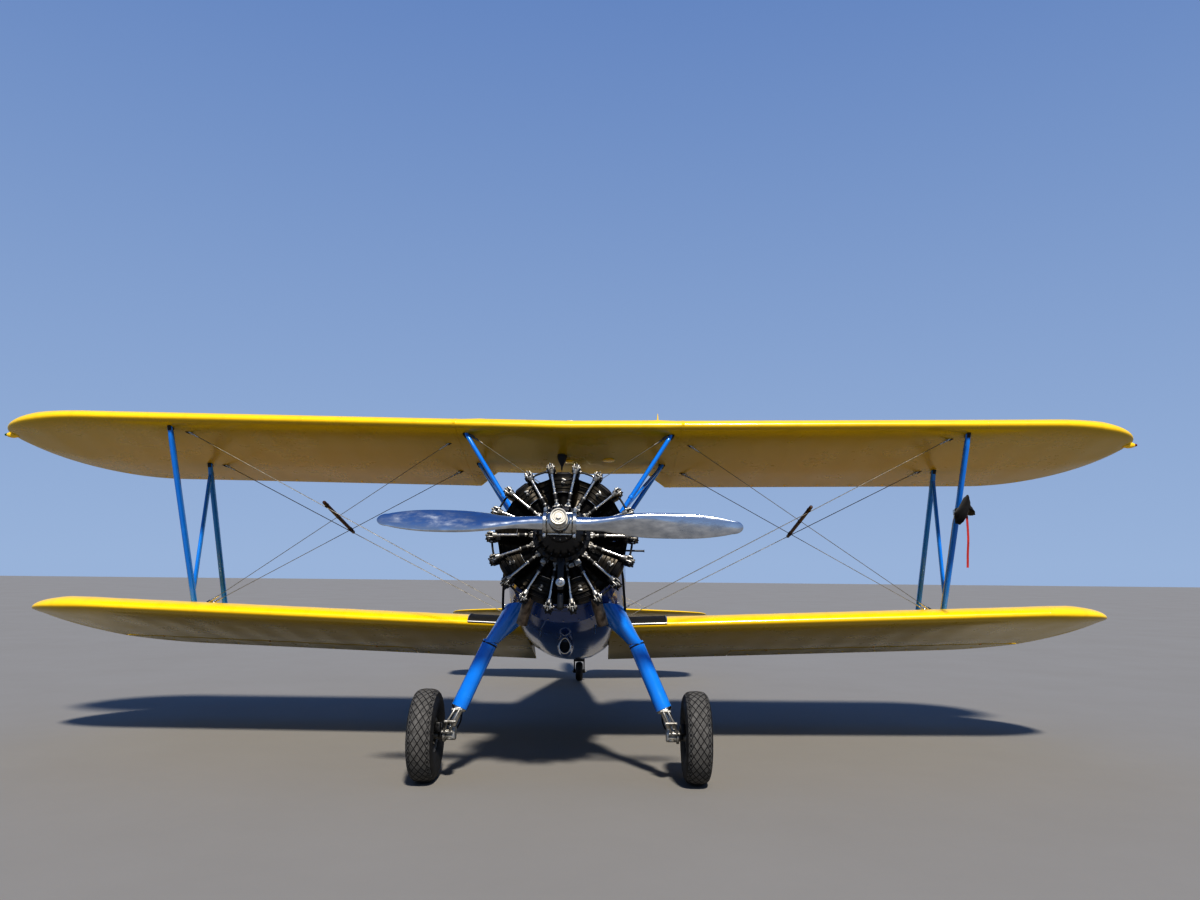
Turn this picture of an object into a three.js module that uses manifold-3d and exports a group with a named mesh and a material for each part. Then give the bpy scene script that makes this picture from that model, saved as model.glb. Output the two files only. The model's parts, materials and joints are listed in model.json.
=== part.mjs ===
// Two-seat open-cockpit biplane trainer with a nine-cylinder radial engine, standing on its wheels.
// Millimetres. Two frames are used. In the level frame X is sideways, Y runs aft from the propeller hub and
// Z is up with the fuselage level. The ground frame is the same turned nose-up about X, with the floor at Z = 0.
import * as THREE from "three";
import { mergeVertices } from "three/addons/utils/BufferGeometryUtils.js";
import Module from "manifold-3d";

const wasm = await Module();
wasm.setup();
const { cos, sin, tan, sqrt, abs, sign, PI } = Math;
const radians = (degrees) => (degrees * PI) / 180;

// Stance
const noseUp = radians(11.43);
const hubHeight = 1850;
const seatGap = 0.3;
const runningGap = 0.4;

// Wings
const wingChord = 1524;
const upperWing = {
  leadingY: 1044, leadingZ: 1091, incidence: radians(3.93), dihedral: radians(0.79),
  halfSpan: 4890, tipAt: 0.3, leadingCurve: 4050, trailingCurve: 3850, trailingRise: 58,
};
const lowerWing = {
  leadingY: 1757, leadingZ: -466, incidence: radians(3.04), dihedral: radians(2.08),
  halfSpan: 4750, tipAt: 0.22, leadingCurve: 4000, trailingCurve: 3700, trailingRise: 0,
};
const centreHalf = 950;
const cutOut = { halfTrailing: 900, halfInner: 700, depth: 380 };
const aileron = { inner: 1550, outer: 4350, hingeAt: 0.825, noseRadius: 36, gap: 8 };

// Struts and wires, as sideways place and distance aft of the leading edge
const cabane = {
  frontX: 862, frontAft: 118, rearX: 828, rearAft: 786, footX: 345, footFrontY: 1230, footRearY: 1730, footZ: 240,
};
const interplane = { topX: 3343, topFront: 110, topRear: 950, footX: 3285, footFront: 270, footRear: 1000 };
const strutChord = 78;
const strutThickness = 40;
const wireRadius = 4;
const stickRadius = 14;
const stickEnds = [[2007, 1225, 462], [1986, 2115, 415]];
const flyingWire = { topX: 3225, rearTopX: 3205, footX: 400, frontFoot: [1390, -390], rearFoot: [1960, -398] };
const landingWire = { topX: 1030, frontTopAft: 320, rearTopAft: 1000, footX: 3150, frontFootAft: 200, rearFootAft: 260 };
const spar = { frontAft: 200, rearAft: 970 };
const cabaneStrut = { chord: 66, thickness: 35, braceChord: 46, braceThickness: 26 };
const interplaneBrace = { chord: 60, thickness: 28 };

// Engine and propeller
const cylinderCount = 9;
const engine = { caseRadius: 205, caseFrontY: 353, caseRearY: 620, cylinderY: 460, headRadius: 500 };
const pushrod = { spread: radians(10.5), y: 340, radius: 11, inner: 185, outer: 470 };
const propellerRest = radians(0.75);
const propellerRadius = 1243;
const hubBarrel = { halfLength: 113, radius: 70 };
const shaftEndY = 118;

// Undercarriage
const tyreSides = 24;
const facet = cos(PI / tyreSides);
const mainTyre = { radius: 330, rim: 190, halfWidth: 106 };
const tailTyre = { radius: 125, rim: 62, halfWidth: 47 };
const halfTrack = 988;
const mainAxleY = 676;
const axleRadius = 30;
const axleBore = (axleRadius + seatGap) / facet;
const tailContactY = 6270;
const swivelLead = 60;
const tailHubHalf = 33;

// Tail
const hinge = { rudderY: 6655, elevatorY: 6500, elevatorZ: 285 };
const tailHalfSpan = 1721;
const torqueTube = 18;

// Solids
function solid(geometry) {
  const bare = new THREE.BufferGeometry().setAttribute("position", geometry.getAttribute("position"));
  bare.setIndex(geometry.index);
  const merged = mergeVertices(bare, 1e-4);
  const faces = [];
  for (let i = 0; i < merged.index.count; i += 3) {
    const [a, b, c] = [0, 1, 2].map((k) => merged.index.getX(i + k));
    if (a !== b && b !== c && a !== c) faces.push(a, b, c);
  }
  const build = (triangles) =>
    new wasm.Manifold(
      new wasm.Mesh({
        numProp: 3,
        vertProperties: merged.attributes.position.array,
        triVerts: new Uint32Array(triangles),
      }),
    );
  const made = build(faces);
  return made.volume() < 0 ? build(faces.reverse()) : made;
}

function geometryOf(shape) {
  const mesh = shape.getMesh();
  return new THREE.BufferGeometry()
    .setAttribute("position", new THREE.BufferAttribute(new Float32Array(mesh.vertProperties), 3))
    .setIndex(new THREE.BufferAttribute(new Uint32Array(mesh.triVerts), 1));
}

// A closed skin through rings of points, all with the same count, closed by a fan at each end
function loft(rings) {
  const count = rings[0].length;
  const position = rings.flat().flat();
  const index = [];
  for (let i = 0; i < rings.length - 1; i++)
    for (let j = 0; j < count; j++) {
      const a = i * count + j;
      const b = i * count + ((j + 1) % count);
      index.push(a, b, b + count, a, b + count, a + count);
    }
  for (const [ring, first] of [[0, true], [rings.length - 1, false]]) {
    const centre = position.length / 3;
    for (let axis = 0; axis < 3; axis++)
      position.push(rings[ring].reduce((sum, point) => sum + point[axis], 0) / count);
    for (let j = 0; j < count; j++) {
      const [a, b] = [ring * count + j, ring * count + ((j + 1) % count)];
      index.push(centre, ...(first ? [b, a] : [a, b]));
    }
  }
  return solid(
    new THREE.BufferGeometry()
      .setAttribute("position", new THREE.Float32BufferAttribute(position, 3))
      .setIndex(index),
  );
}

function box(x0, x1, y0, y1, z0, z1) {
  const shape = new THREE.BoxGeometry(x1 - x0, y1 - y0, z1 - z0);
  return solid(shape.translate((x0 + x1) / 2, (y0 + y1) / 2, (z0 + z1) / 2));
}

// A round bar from one point to another
function bar(from, to, radius, endRadius = radius, sides = 10) {
  const [a, b] = [new THREE.Vector3(...from), new THREE.Vector3(...to)];
  const along = b.clone().sub(a);
  const turn = new THREE.Quaternion().setFromUnitVectors(
    new THREE.Vector3(0, 1, 0), along.clone().normalize());
  const shape = new THREE.CylinderGeometry(endRadius, radius, along.length(), sides);
  shape.applyQuaternion(turn).translate(...a.add(b).multiplyScalar(0.5).toArray());
  return solid(shape);
}

// A turned body about Y from [radius, y] pairs, then aimed along another axis
function turned(profile, sides, aim = [0, 1, 0], place = [0, 0, 0], phase = 0) {
  const points = profile.map(([radius, y]) => new THREE.Vector2(radius, y));
  const shape = new THREE.LatheGeometry(points, sides, phase);
  shape.applyQuaternion(new THREE.Quaternion().setFromUnitVectors(
    new THREE.Vector3(0, 1, 0), new THREE.Vector3(...aim)));
  return solid(shape.translate(...place));
}

// A streamlined strut whose chord lies fore and aft
const strutSection = [[-0.5, 0], [-0.38, 0.36], [-0.12, 0.5], [0.18, 0.4], [0.5, 0.06],
  [0.5, -0.06], [0.18, -0.4], [-0.12, -0.5], [-0.38, -0.36]];
function strut(from, to, chord = strutChord, thickness = strutThickness) {
  const along = new THREE.Vector3(...to).sub(new THREE.Vector3(...from)).normalize();
  const across = along.clone().cross(new THREE.Vector3(0, 1, 0)).normalize();
  const aft = across.clone().cross(along).normalize();
  const ring = (end) => strutSection.map(([c, t]) =>
    new THREE.Vector3(...end).addScaledVector(aft, c * chord * sign(aft.y))
      .addScaledVector(across, t * thickness).toArray());
  return loft([ring(from), ring(to)]);
}

// The point at a share of the way from one point to another
const between = (from, to, share) => from.map((value, axis) => value + share * (to[axis] - value));

// An upright plug with rounded corners
function plug(halfWidth, y0, y1, z0, z1, corner) {
  const outline = new THREE.Shape();
  outline.absarc(halfWidth - corner, y1 - corner, corner, 0, PI / 2);
  outline.absarc(corner - halfWidth, y1 - corner, corner, PI / 2, PI);
  outline.absarc(corner - halfWidth, y0 + corner, corner, PI, 1.5 * PI);
  outline.absarc(halfWidth - corner, y0 + corner, corner, 1.5 * PI, 2 * PI);
  outline.closePath();
  const shape = new THREE.ExtrudeGeometry(outline, { depth: z1 - z0, bevelEnabled: false, curveSegments: 5 });
  return solid(shape.translate(0, 0, z0));
}

const joined = (...shapes) => shapes.flat().reduce((sum, next) => sum.add(next));
const both = (shape) => [shape, shape.mirror([1, 0, 0])];
// The +X half of a shape and its mirror image, so that both sides are exactly alike
const evened = (shape) => joined(both(shape.intersect(box(0, 9000, -9000, 9000, -9000, 9000))));
// The piece cut back to its neighbour, with a fine gap left along the given way
function seated(piece, neighbour, x, y, z) {
  return piece.subtract(neighbour)
    .subtract(neighbour.translate([x * seatGap, y * seatGap, z * seatGap]));
}

// The body of a cut shape, without the slivers beside it
const largest = (shape) => shape.decompose().reduce((best, body) => (body.volume() > best.volume() ? body : best));

// Materials
const finish = (color, roughness, metalness = 0) => new THREE.MeshStandardMaterial({ color, roughness, metalness });
const paint = {
  yellow: finish(0xe8b21a, 0.35), blue: finish(0x16337e, 0.25), strutBlue: finish(0x1f6fd0, 0.3),
  steel: finish(0x9aa0a6, 0.35, 0.9), polished: finish(0xd8dadc, 0.15, 1), iron: finish(0x2a2a2c, 0.6, 0.4),
  exhaust: finish(0x8a6a4a, 0.6, 0.6), rubber: finish(0x141414, 0.85), grey: finish(0x8c9094, 0.5, 0.3),
  glass: finish(0xdfeef2, 0.05), wood: finish(0x7a4a22, 0.6), black: finish(0x101010, 0.7),
  red: finish(0xb01818, 0.3),
};

const aircraft = new THREE.Group();
const airframe = new THREE.Group();
airframe.rotation.x = -noseUp;
airframe.position.z = hubHeight;
aircraft.add(airframe);
function node(name, shape, material, group = airframe) {
  const mesh = new THREE.Mesh(geometryOf(shape), material);
  mesh.name = name;
  group.add(mesh);
  return mesh;
}
const sides = [["left", 1], ["right", -1]];
function pair(name, shape, material) {
  for (const [side, way] of sides)
    node(`${name}_${side}`, way > 0 ? shape : shape.mirror([1, 0, 0]), material);
}
const toLevel = (y, z) => [
  y * cos(noseUp) - (z - hubHeight) * sin(noseUp),
  y * sin(noseUp) + (z - hubHeight) * cos(noseUp),
];

// Wing section as shares of the chord: [aft, upper, lower], measured from the leading edge
const wingSection = [
  [0, 0, 0], [0.0125, 0.02, -0.016], [0.05, 0.044, -0.027], [0.12, 0.066, -0.034], [0.25, 0.082, -0.036],
  [0.4, 0.079, -0.035], [0.6, 0.056, -0.034], [0.8, 0.02, -0.033], [1, -0.03, -0.036],
];
// Edges of the planform at a sideways place, as distances aft of the root leading edge
function planform(wing, x) {
  const tip = wing.tipAt * wingChord;
  const rounding = (from) => {
    const t = Math.max(0, (x - from) / (wing.halfSpan - from));
    return 1 - sqrt(Math.max(0, 1 - t * t));
  };
  return [tip * rounding(wing.leadingCurve), wingChord - (wingChord - tip) * rounding(wing.trailingCurve)];
}
function wingPoint(wing, x, aft, lift = 0) {
  return [x, wing.leadingY + aft, wing.leadingZ - aft * tan(wing.incidence) + abs(x) * tan(wing.dihedral) + lift];
}
function wingRing(wing, x, edges = planform(wing, x)) {
  const [leading, trailing] = edges;
  const chord = trailing - leading;
  const deep = Math.min(wingChord, chord * 1.25);
  // The upper wing's section lifts again behind its rear spar
  const rise = (aft) => (wing.trailingRise / wingChord) * Math.max(0, (aft - 0.6) / 0.4) ** 1.5;
  const at = ([aft, , ], lift) => wingPoint(wing, x, leading + aft * chord, (lift + rise(aft)) * deep);
  const upper = wingSection.map((row) => at(row, row[1]));
  const lower = wingSection.slice(1).reverse().map((row) => at(row, row[2]));
  return [...upper, ...lower];
}
const tipStations = [0, 0.35, 0.6, 0.8, 0.92, 0.985, 0.999];
function wingStations(wing) {
  const start = Math.min(wing.leadingCurve, wing.trailingCurve);
  return tipStations.map((share) => start + share * (wing.halfSpan - start));
}

// Fuselage sections: [station, half width, top, bottom, widest height, roundness above, roundness below]
const fuselageSections = [
  [950, 425, 405, -540, -60, 2.1, 2.3],
  [1200, 462, 432, -590, -60, 2.2, 2.5],
  [1700, 495, 478, -622, -60, 2.3, 2.7],
  [2650, 490, 500, -622, -40, 2.3, 2.7],
  [3300, 455, 505, -590, -20, 2.2, 2.6],
  [3640, 425, 560, -560, 0, 1.8, 2.6],
  [4300, 345, 480, -470, 20, 1.8, 2.5],
  [5100, 240, 385, -350, 40, 1.9, 2.4],
  [5900, 135, 285, -225, 50, 2, 2.2],
  [6500, 62, 205, -130, 50, 2, 2],
  [6620, 36, 190, -112, 50, 2, 2],
];
const bulkhead = 3640;
const firewall = 950;
const ringPoints = 28;
function sectionRing([y, halfWidth, top, bottom, widest, above, below], inset = 0) {
  return Array.from({ length: ringPoints }, (_, k) => {
    const turn = (2 * PI * k) / ringPoints;
    const [across, up] = [cos(turn), sin(turn)].map((share) => (abs(share) < 1e-9 ? 0 : share));
    const power = 2 / (up >= 0 ? above : below);
    const height = (up >= 0 ? top - widest : widest - bottom) - inset;
    return [
      (halfWidth - inset) * sign(across) * abs(across) ** power,
      y,
      widest + height * sign(up) * abs(up) ** power,
    ];
  });
}
const forwardRows = fuselageSections.filter(([y]) => y <= bulkhead);
const aftRows = fuselageSections.filter(([y]) => y >= bulkhead);
const outerForward = evened(loft(forwardRows.map((row) => sectionRing(row))));
const aftShell = evened(loft(aftRows.map((row) => sectionRing(row))));

// Cockpits: one hollow each behind the skin, and its hole in the top
const wall = 32;
const floorZ = -430;
const cockpits = [
  { name: "front", hollow: [1420, 2570], hole: [1800, 2450], halfHole: 285, panelY: 1815, seatY: 2260, shieldY: 1745 },
  { name: "rear", hollow: [2610, 3600], hole: [2900, 3560], halfHole: 275, panelY: 2912, seatY: 3340, shieldY: 2850 },
];
const innerShell = (inset) => evened(loft(forwardRows.map((row) => sectionRing(row, inset))));
const inside = innerShell(wall);
let forwardShell = outerForward;
for (const { hollow, hole, halfHole } of cockpits) {
  const [y0, y1] = hollow;
  forwardShell = forwardShell
    .subtract(inside.intersect(box(-600, 600, y0, y1, floorZ, 900)))
    .subtract(plug(halfHole, ...hole, 250, 900, 200));
}
forwardShell = forwardShell.subtract(box(-600, 600, bulkhead - seatGap, bulkhead + 10, -900, 900));
node("fuselage_forward", forwardShell, paint.blue);
node("fuselage_aft", aftShell, paint.blue);

const panelInside = innerShell(wall + seatGap);
for (const { name, panelY, seatY, shieldY, halfHole } of cockpits) {
  const plate = box(-600, 600, panelY - 14, panelY, 60, 900).intersect(panelInside);
  node(`instrument_panel_${name}`, plate, paint.black);
  const pan = box(-205, 205, seatY - 180, seatY + 170, -185, -160);
  const back = loft([[-185, 0], [330, 70]].map(([z, lean]) => [
    [-205, seatY + 145 + lean, z], [205, seatY + 145 + lean, z],
    [205, seatY + 170 + lean, z], [-205, seatY + 170 + lean, z]]));
  const cheeks = both(box(180, 205, seatY - 180, seatY + 170, -185, -70));
  const post = box(-90, 90, seatY - 90, seatY + 90, floorZ + seatGap, -170);
  node(`seat_${name}`, joined(pan, back, cheeks, post), paint.grey);
  const stem = (grow) => [[-halfHole + 25 - grow, shieldY + 190], [-150 - grow * 0.6, shieldY - grow],
    [150 + grow * 0.6, shieldY - grow], [halfHole - 25 + grow, shieldY + 190]];
  const outline = new THREE.Shape([...stem(0), ...stem(-7).reverse()].map(([x, y]) => new THREE.Vector2(x, y)));
  const pane = new THREE.ExtrudeGeometry(outline, { depth: 420, bevelEnabled: false });
  const lean = new THREE.Matrix4().makeShear(0, 0, 0, 0, 0, 0.45);
  pane.translate(0, 0, -420).applyMatrix4(lean).translate(0, 110, 790);
  node(`windshield_${name}`, seated(solid(pane), outerForward, 0, 0, 1), paint.glass);
}

// Accessory cowl between the engine and the firewall
const cowlRows = [[705, 325, 330, -390, -30, 2, 2.1], [fuselageSections[0][0] - seatGap, ...fuselageSections[0].slice(1)]];
const cowl = evened(loft(cowlRows.map((row) => sectionRing(row))));
node("accessory_cowl", cowl, paint.blue);

// Scoop under the belly
const scoopRing = (y, halfWidth, low, high) => Array.from({ length: 14 }, (_, k) => {
  const turn = (2 * PI * k) / 14;
  return [halfWidth * cos(turn), y, (low + high) / 2 + ((high - low) / 2) * sin(turn)];
});
const scoop = loft([scoopRing(1330, 52, -738, -592), scoopRing(1480, 66, -745, -560), scoopRing(1780, 46, -650, -560)]);
const scoopMouth = loft([scoopRing(1320, 38, -722, -618), scoopRing(1440, 38, -722, -618)]);
node("belly_scoop", seated(scoop.subtract(scoopMouth), outerForward, 0, 0, -1), paint.blue);

// Upper wing: a centre section over the cabane struts and a panel each side
const cutRing = (x) => {
  const into = Math.min(1, Math.max(0, (cutOut.halfTrailing - abs(x)) / (cutOut.halfTrailing - cutOut.halfInner)));
  return wingRing(upperWing, x, [0, wingChord - cutOut.depth * into]);
};
const centreStations = [0, cutOut.halfInner, cutOut.halfTrailing, centreHalf - seatGap];
const centreSection = loft([...centreStations.slice(1).reverse().map((x) => -x), ...centreStations].map(cutRing));
const gaugeCup = turned([[0, -150], [16, -150], [42, -40], [42, 20], [0, 20]], 12, [0, 0, 1],
  wingPoint(upperWing, -70, 550, -20));
node("upper_centre_section", joined(centreSection, gaugeCup), paint.yellow);
const upperPanel = loft([centreHalf, ...wingStations(upperWing)].map((x) => wingRing(upperWing, x)));
pair("upper_wing", upperPanel, paint.yellow);
const wholeUpper = joined(centreSection, both(upperPanel));

// Wing-tip lights
const tipAft = upperWing.tipAt * wingChord;
const tipLight = turned([[0, -70], [20, -60], [24, 0], [18, 20], [0, 28]], 12, [1, 0, 0],
  wingPoint(upperWing, upperWing.halfSpan, tipAft, -8));
pair("tip_light", seated(tipLight, upperPanel, 1, 0, 0).subtract(box(0, upperWing.halfSpan - 3, 0, 9000, -3000, 3000)), paint.red);

// Lower wing with its aileron
const lowerPlan = loft([300, ...wingStations(lowerWing)].map((x) => wingRing(lowerWing, x)));
const hingeAft = aileron.hingeAt * wingChord;
const hingeLift = -8;
const hingeLine = (x) => wingPoint(lowerWing, x, hingeAft, hingeLift);
const bay = box(aileron.inner - aileron.gap, aileron.outer + aileron.gap,
  lowerWing.leadingY + hingeAft - aileron.noseRadius - aileron.gap, 9000, -3000, 3000);
const aileronSpan = box(aileron.inner, aileron.outer, 0, 9000, -3000, 3000);
const nose = bar(hingeLine(aileron.inner - 20), hingeLine(aileron.outer + 20), aileron.noseRadius,
  aileron.noseRadius, 16);
const flap = lowerPlan.intersect(box(0, 9000, lowerWing.leadingY + hingeAft, 9000, -3000, 3000));
// Hinge lugs stand out of the wing into slots in the aileron's nose
const lugHalf = 12;
const aileronHinges = [1900, 2950, 4000];
const lugFront = lowerWing.leadingY + hingeAft - aileron.noseRadius - aileron.gap - 20;
const wingLugs = aileronHinges.map((x) => {
  const [, y, z] = hingeLine(x);
  return joined(bar(hingeLine(x - lugHalf), hingeLine(x + lugHalf), 14, 14, 12),
    box(x - 8, x + 8, lugFront, y, z - 7, z + 7));
});
const aileronSlots = joined(aileronHinges.map((x) => bar(hingeLine(x - lugHalf - runningGap),
  hingeLine(x + lugHalf + runningGap), aileron.noseRadius + aileron.gap, aileron.noseRadius + aileron.gap, 16)));
const aileronShape = joined(flap, nose.intersect(lowerPlan)).intersect(aileronSpan).subtract(aileronSlots);
const lowerPanel = joined(seated(lowerPlan.subtract(bay), outerForward, 1, 0, 0), wingLugs);
pair("lower_wing", lowerPanel, paint.yellow);
pair("aileron", aileronShape, paint.yellow);

// Cabane struts: front, rear and diagonal, with a foot on the fuselage
const upperUnder = (x, aft) => wingPoint(upperWing, x, aft, -10);
const cabaneFoot = (y) => [cabane.footX, y, cabane.footZ];
const cabaneFront = [cabaneFoot(cabane.footFrontY), upperUnder(cabane.frontX, cabane.frontAft)];
const cabaneRear = [cabaneFoot(cabane.footRearY), upperUnder(cabane.rearX, cabane.rearAft)];
const cabaneFrame = joined(
  strut(...cabaneFront, cabaneStrut.chord, cabaneStrut.thickness),
  strut(...cabaneRear, cabaneStrut.chord, cabaneStrut.thickness),
  strut(between(...cabaneFront, 0.2), between(...cabaneRear, 0.94), cabaneStrut.braceChord, cabaneStrut.braceThickness),
);
pair("cabane_struts", seated(seated(cabaneFrame, wholeUpper, 0, 0, -1), outerForward, 1, 0, 0.6), paint.strutBlue);

// Interplane struts: an N on each side
const strutTop = (aft) => wingPoint(upperWing, interplane.topX, aft, -10);
const strutFoot = (aft) => wingPoint(lowerWing, interplane.footX, aft, 10);
const interplaneFront = [strutFoot(interplane.footFront), strutTop(interplane.topFront)];
const interplaneRear = [strutFoot(interplane.footRear), strutTop(interplane.topRear)];
const interplaneFrame = joined(
  strut(...interplaneFront),
  strut(...interplaneRear),
  strut(between(...interplaneFront, 0.1), between(...interplaneRear, 0.95), interplaneBrace.chord, interplaneBrace.thickness),
);
pair("interplane_struts", seated(seated(interplaneFrame, upperPanel, 0, 0, -1), lowerPanel, 0, 0, 1), paint.strutBlue);

// Flying and landing wires of one side, held where they cross by a wooden stick
const upperEnd = (x, aft) => wingPoint(upperWing, x, aft, -20);
const lowerEnd = (aft) => wingPoint(lowerWing, landingWire.footX, aft, 60);
const wires = {
  flying_wire_front: [[flyingWire.footX, ...flyingWire.frontFoot], upperEnd(flyingWire.topX, spar.frontAft)],
  flying_wire_rear: [[flyingWire.footX, ...flyingWire.rearFoot], upperEnd(flyingWire.rearTopX, spar.rearAft)],
  landing_wire_front: [lowerEnd(landingWire.frontFootAft), upperEnd(landingWire.topX, landingWire.frontTopAft)],
  landing_wire_rear: [lowerEnd(landingWire.rearFootAft), upperEnd(landingWire.topX, landingWire.rearTopAft)],
};
const wireBar = ([from, to], radius = wireRadius) => bar(from, to, radius, radius, 6);
for (const [name, ends] of Object.entries(wires))
  pair(name, [[wholeUpper, 0, -1], [lowerPanel, 0, 1], [outerForward, 1, 0]]
    .reduce((shape, [neighbour, x, z]) => seated(shape, neighbour, x, 0, z), wireBar(ends)), paint.steel);
const stick = Object.values(wires).reduce((shape, ends) => shape.subtract(wireBar(ends, wireRadius + 0.4)),
  bar(...stickEnds, stickRadius, stickRadius, 8));
pair("wire_spreader", stick, paint.wood);

// Engine: crankcase with its finned cylinders and rocker boxes
const cylinderAngles = Array.from({ length: cylinderCount }, (_, k) => (2 * PI * k) / cylinderCount);
const finned = [[0, 150], [78, 150], [78, 215]];
for (let radius = 225; radius < 340; radius += 48)
  finned.push([66, radius], [66, radius + 20], [80, radius + 20], [80, radius + 44]);
finned.push([68, 375], [68, 388], [90, 392], [92, 440], [76, 444], [76, 456], [84, 460], [84, engine.headRadius], [0, engine.headRadius]);
const crankcase = turned([[0, 353], [205, 353], [205, 560], [175, 600], [175, 704.7], [0, 704.7]], 27);
const powerSection = joined(crankcase, cylinderAngles.map((angle) => {
  const outward = [sin(angle), 0, cos(angle)];
  const cylinder = turned(finned, 10, outward, [0, engine.cylinderY, 0]);
  const rockers = [-1, 1].map((way) =>
    box(-31, 31, 322, 500, pushrod.outer, 548)
      .add(box(-31, 31, 380, 500, 440, 500))
      .rotate([0, (angle + way * pushrod.spread) * 180 / PI, 0]));
  return joined(cylinder, rockers);
}));
node("engine_power_section", powerSection, paint.iron);
const noseCase = turned([[0, shaftEndY], [62, shaftEndY], [88, 126], [100, 165], [148, 205], [172, 280], [205, 318],
  [205, 353 - seatGap], [0, 353 - seatGap]], 27);
const pushrods = cylinderAngles.flatMap((angle) => [-1, 1].map((way) => {
  const turn = angle + way * pushrod.spread;
  const at = (radius) => [radius * sin(turn), pushrod.y, radius * cos(turn)];
  return bar(at(pushrod.inner), at(pushrod.outer - seatGap), pushrod.radius, pushrod.radius, 6);
}));
const sump = box(-48, 48, 290, 352, -330, -180);
node("engine_nose", joined(noseCase, pushrods, sump), paint.steel);

// Exhaust: collector ring behind the cylinders, one short pipe from each head and two outlets
const ring = { radius: 335, y: 635, tube: 34 };
const collector = new THREE.TorusGeometry(ring.radius, ring.tube, 6, 27).rotateX(PI / 2).translate(0, ring.y, 0);
const ports = cylinderAngles.map((angle) => {
  const at = (radius, y) => [radius * sin(angle), y, radius * cos(angle)];
  return bar(at(ring.radius, ring.y), at(412, 500), 24, 24, 8);
});
const outlets = both(bar([190, ring.y, -270], [300, 765, -575], 40, 42, 10));
node("exhaust_collector", seated(joined(solid(collector), ports, outlets), powerSection, 0, 1, 0), paint.exhaust);

// Propeller: hub with its nut, and two blades. Blade rows: [radius, chord, thickness, pitch, forward share]
const propeller = new THREE.Group();
propeller.rotation.y = propellerRest;
airframe.add(propeller);
const hub = joined(
  turned([[0, -208], [40, -208], [56, -202], [56, -178], [50, -176], [50, -126], [60, -124], [60, -108], [72, -90],
    [72, 60], [42, 64], [42, shaftEndY - 0.5], [0, shaftEndY - 0.5]], 18),
  turned([[0, -hubBarrel.halfLength], [50, -hubBarrel.halfLength], [hubBarrel.radius, -85], [hubBarrel.radius, 85],
    [50, hubBarrel.halfLength], [0, hubBarrel.halfLength]], 16, [1, 0, 0]),
);
node("propeller_hub", hub, paint.polished, propeller);
const bladeRows = [
  [113.3, 99, 98, 45, 0.5], [200, 99, 92, 44, 0.5], [300, 112, 70, 42, 0.55], [400, 140, 50, 36, 0.65],
  [500, 163, 38, 30, 0.75], [600, 172, 31, 23, 0.8], [730, 172, 25, 16, 0.8], [900, 165, 19, 13, 0.8],
  [1000, 150, 15, 12, 0.8], [1100, 122, 12, 11, 0.8], [1170, 92, 9, 10.5, 0.8], [1220, 56, 6, 10, 0.8],
  [propellerRadius, 20, 4, 10, 0.8],
];
const blade = loft(bladeRows.map(([radius, chord, thickness, pitch, ahead]) =>
  Array.from({ length: 14 }, (_, k) => {
    const turn = (2 * PI * k) / 14;
    const along = (chord / 2) * cos(turn);
    const proud = thickness * sin(turn) * (sin(turn) > 0 ? ahead : 1 - ahead);
    const angle = radians(pitch);
    return [radius, -along * sin(angle) - proud * cos(angle), along * cos(angle) - proud * sin(angle)];
  })));
node("propeller_blade_left", blade, paint.polished, propeller);
node("propeller_blade_right", blade.rotate([0, 180, 0]), paint.polished, propeller);

// Main gear. Leg rows: [x, y, z, half width, half length]
const mainAxleZ = mainTyre.radius * facet;
const [axleY, axleZ] = toLevel(mainAxleY, mainAxleZ);
const legRows = [
  [350, 1130, -400, 60, 250], [450, 1085, -545, 92, 205], [515, 1025, -635, 76, 115],
  [556, 1000, -692, 66, 70], [757, 975, -1162, 60, 60],
];
const leg = loft(legRows.map(([x, y, z, wide, long]) => Array.from({ length: 16 }, (_, k) => {
  const turn = (2 * PI * k) / 16;
  return [x + wide * cos(turn), y + long * sin(turn), z];
})));
pair("gear_leg", seated(seated(leg, outerForward, 0.5, 0, -1), cowl, 0.5, 0, -1), paint.strutBlue);
const legEnd = [757, 975, -1162];
const axleEnd = [838, axleY, axleZ];
const axle = joined(
  bar([757, 975, -1162 - seatGap - 12], axleEnd, 33, 33, 12),
  bar([806, axleY, axleZ], [1000, axleY, axleZ], axleRadius, axleRadius, tyreSides),
  box(750, 800, axleY - 70, axleY - 10, -1290, -1200),
  box(770, 845, axleY - 62, axleY + 10, axleZ - 30, axleZ + 60),
).subtract(box(0, 2000, 0, 2000, legEnd[2] - seatGap, 0));
pair("axle", axle, paint.steel);

const tyreProfile = ({ radius, rim, halfWidth }) => [
  [rim, -0.66], [rim + 0.3 * (radius - rim), -0.96], [rim + 0.65 * (radius - rim), -1], [radius * 0.975, -0.62],
  [radius, -0.25], [radius, 0.25], [radius * 0.975, 0.62], [rim + 0.65 * (radius - rim), 1],
  [rim + 0.3 * (radius - rim), 0.96], [rim, 0.66], [rim, -0.66],
].map(([r, share]) => [r, share * halfWidth]);
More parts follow.
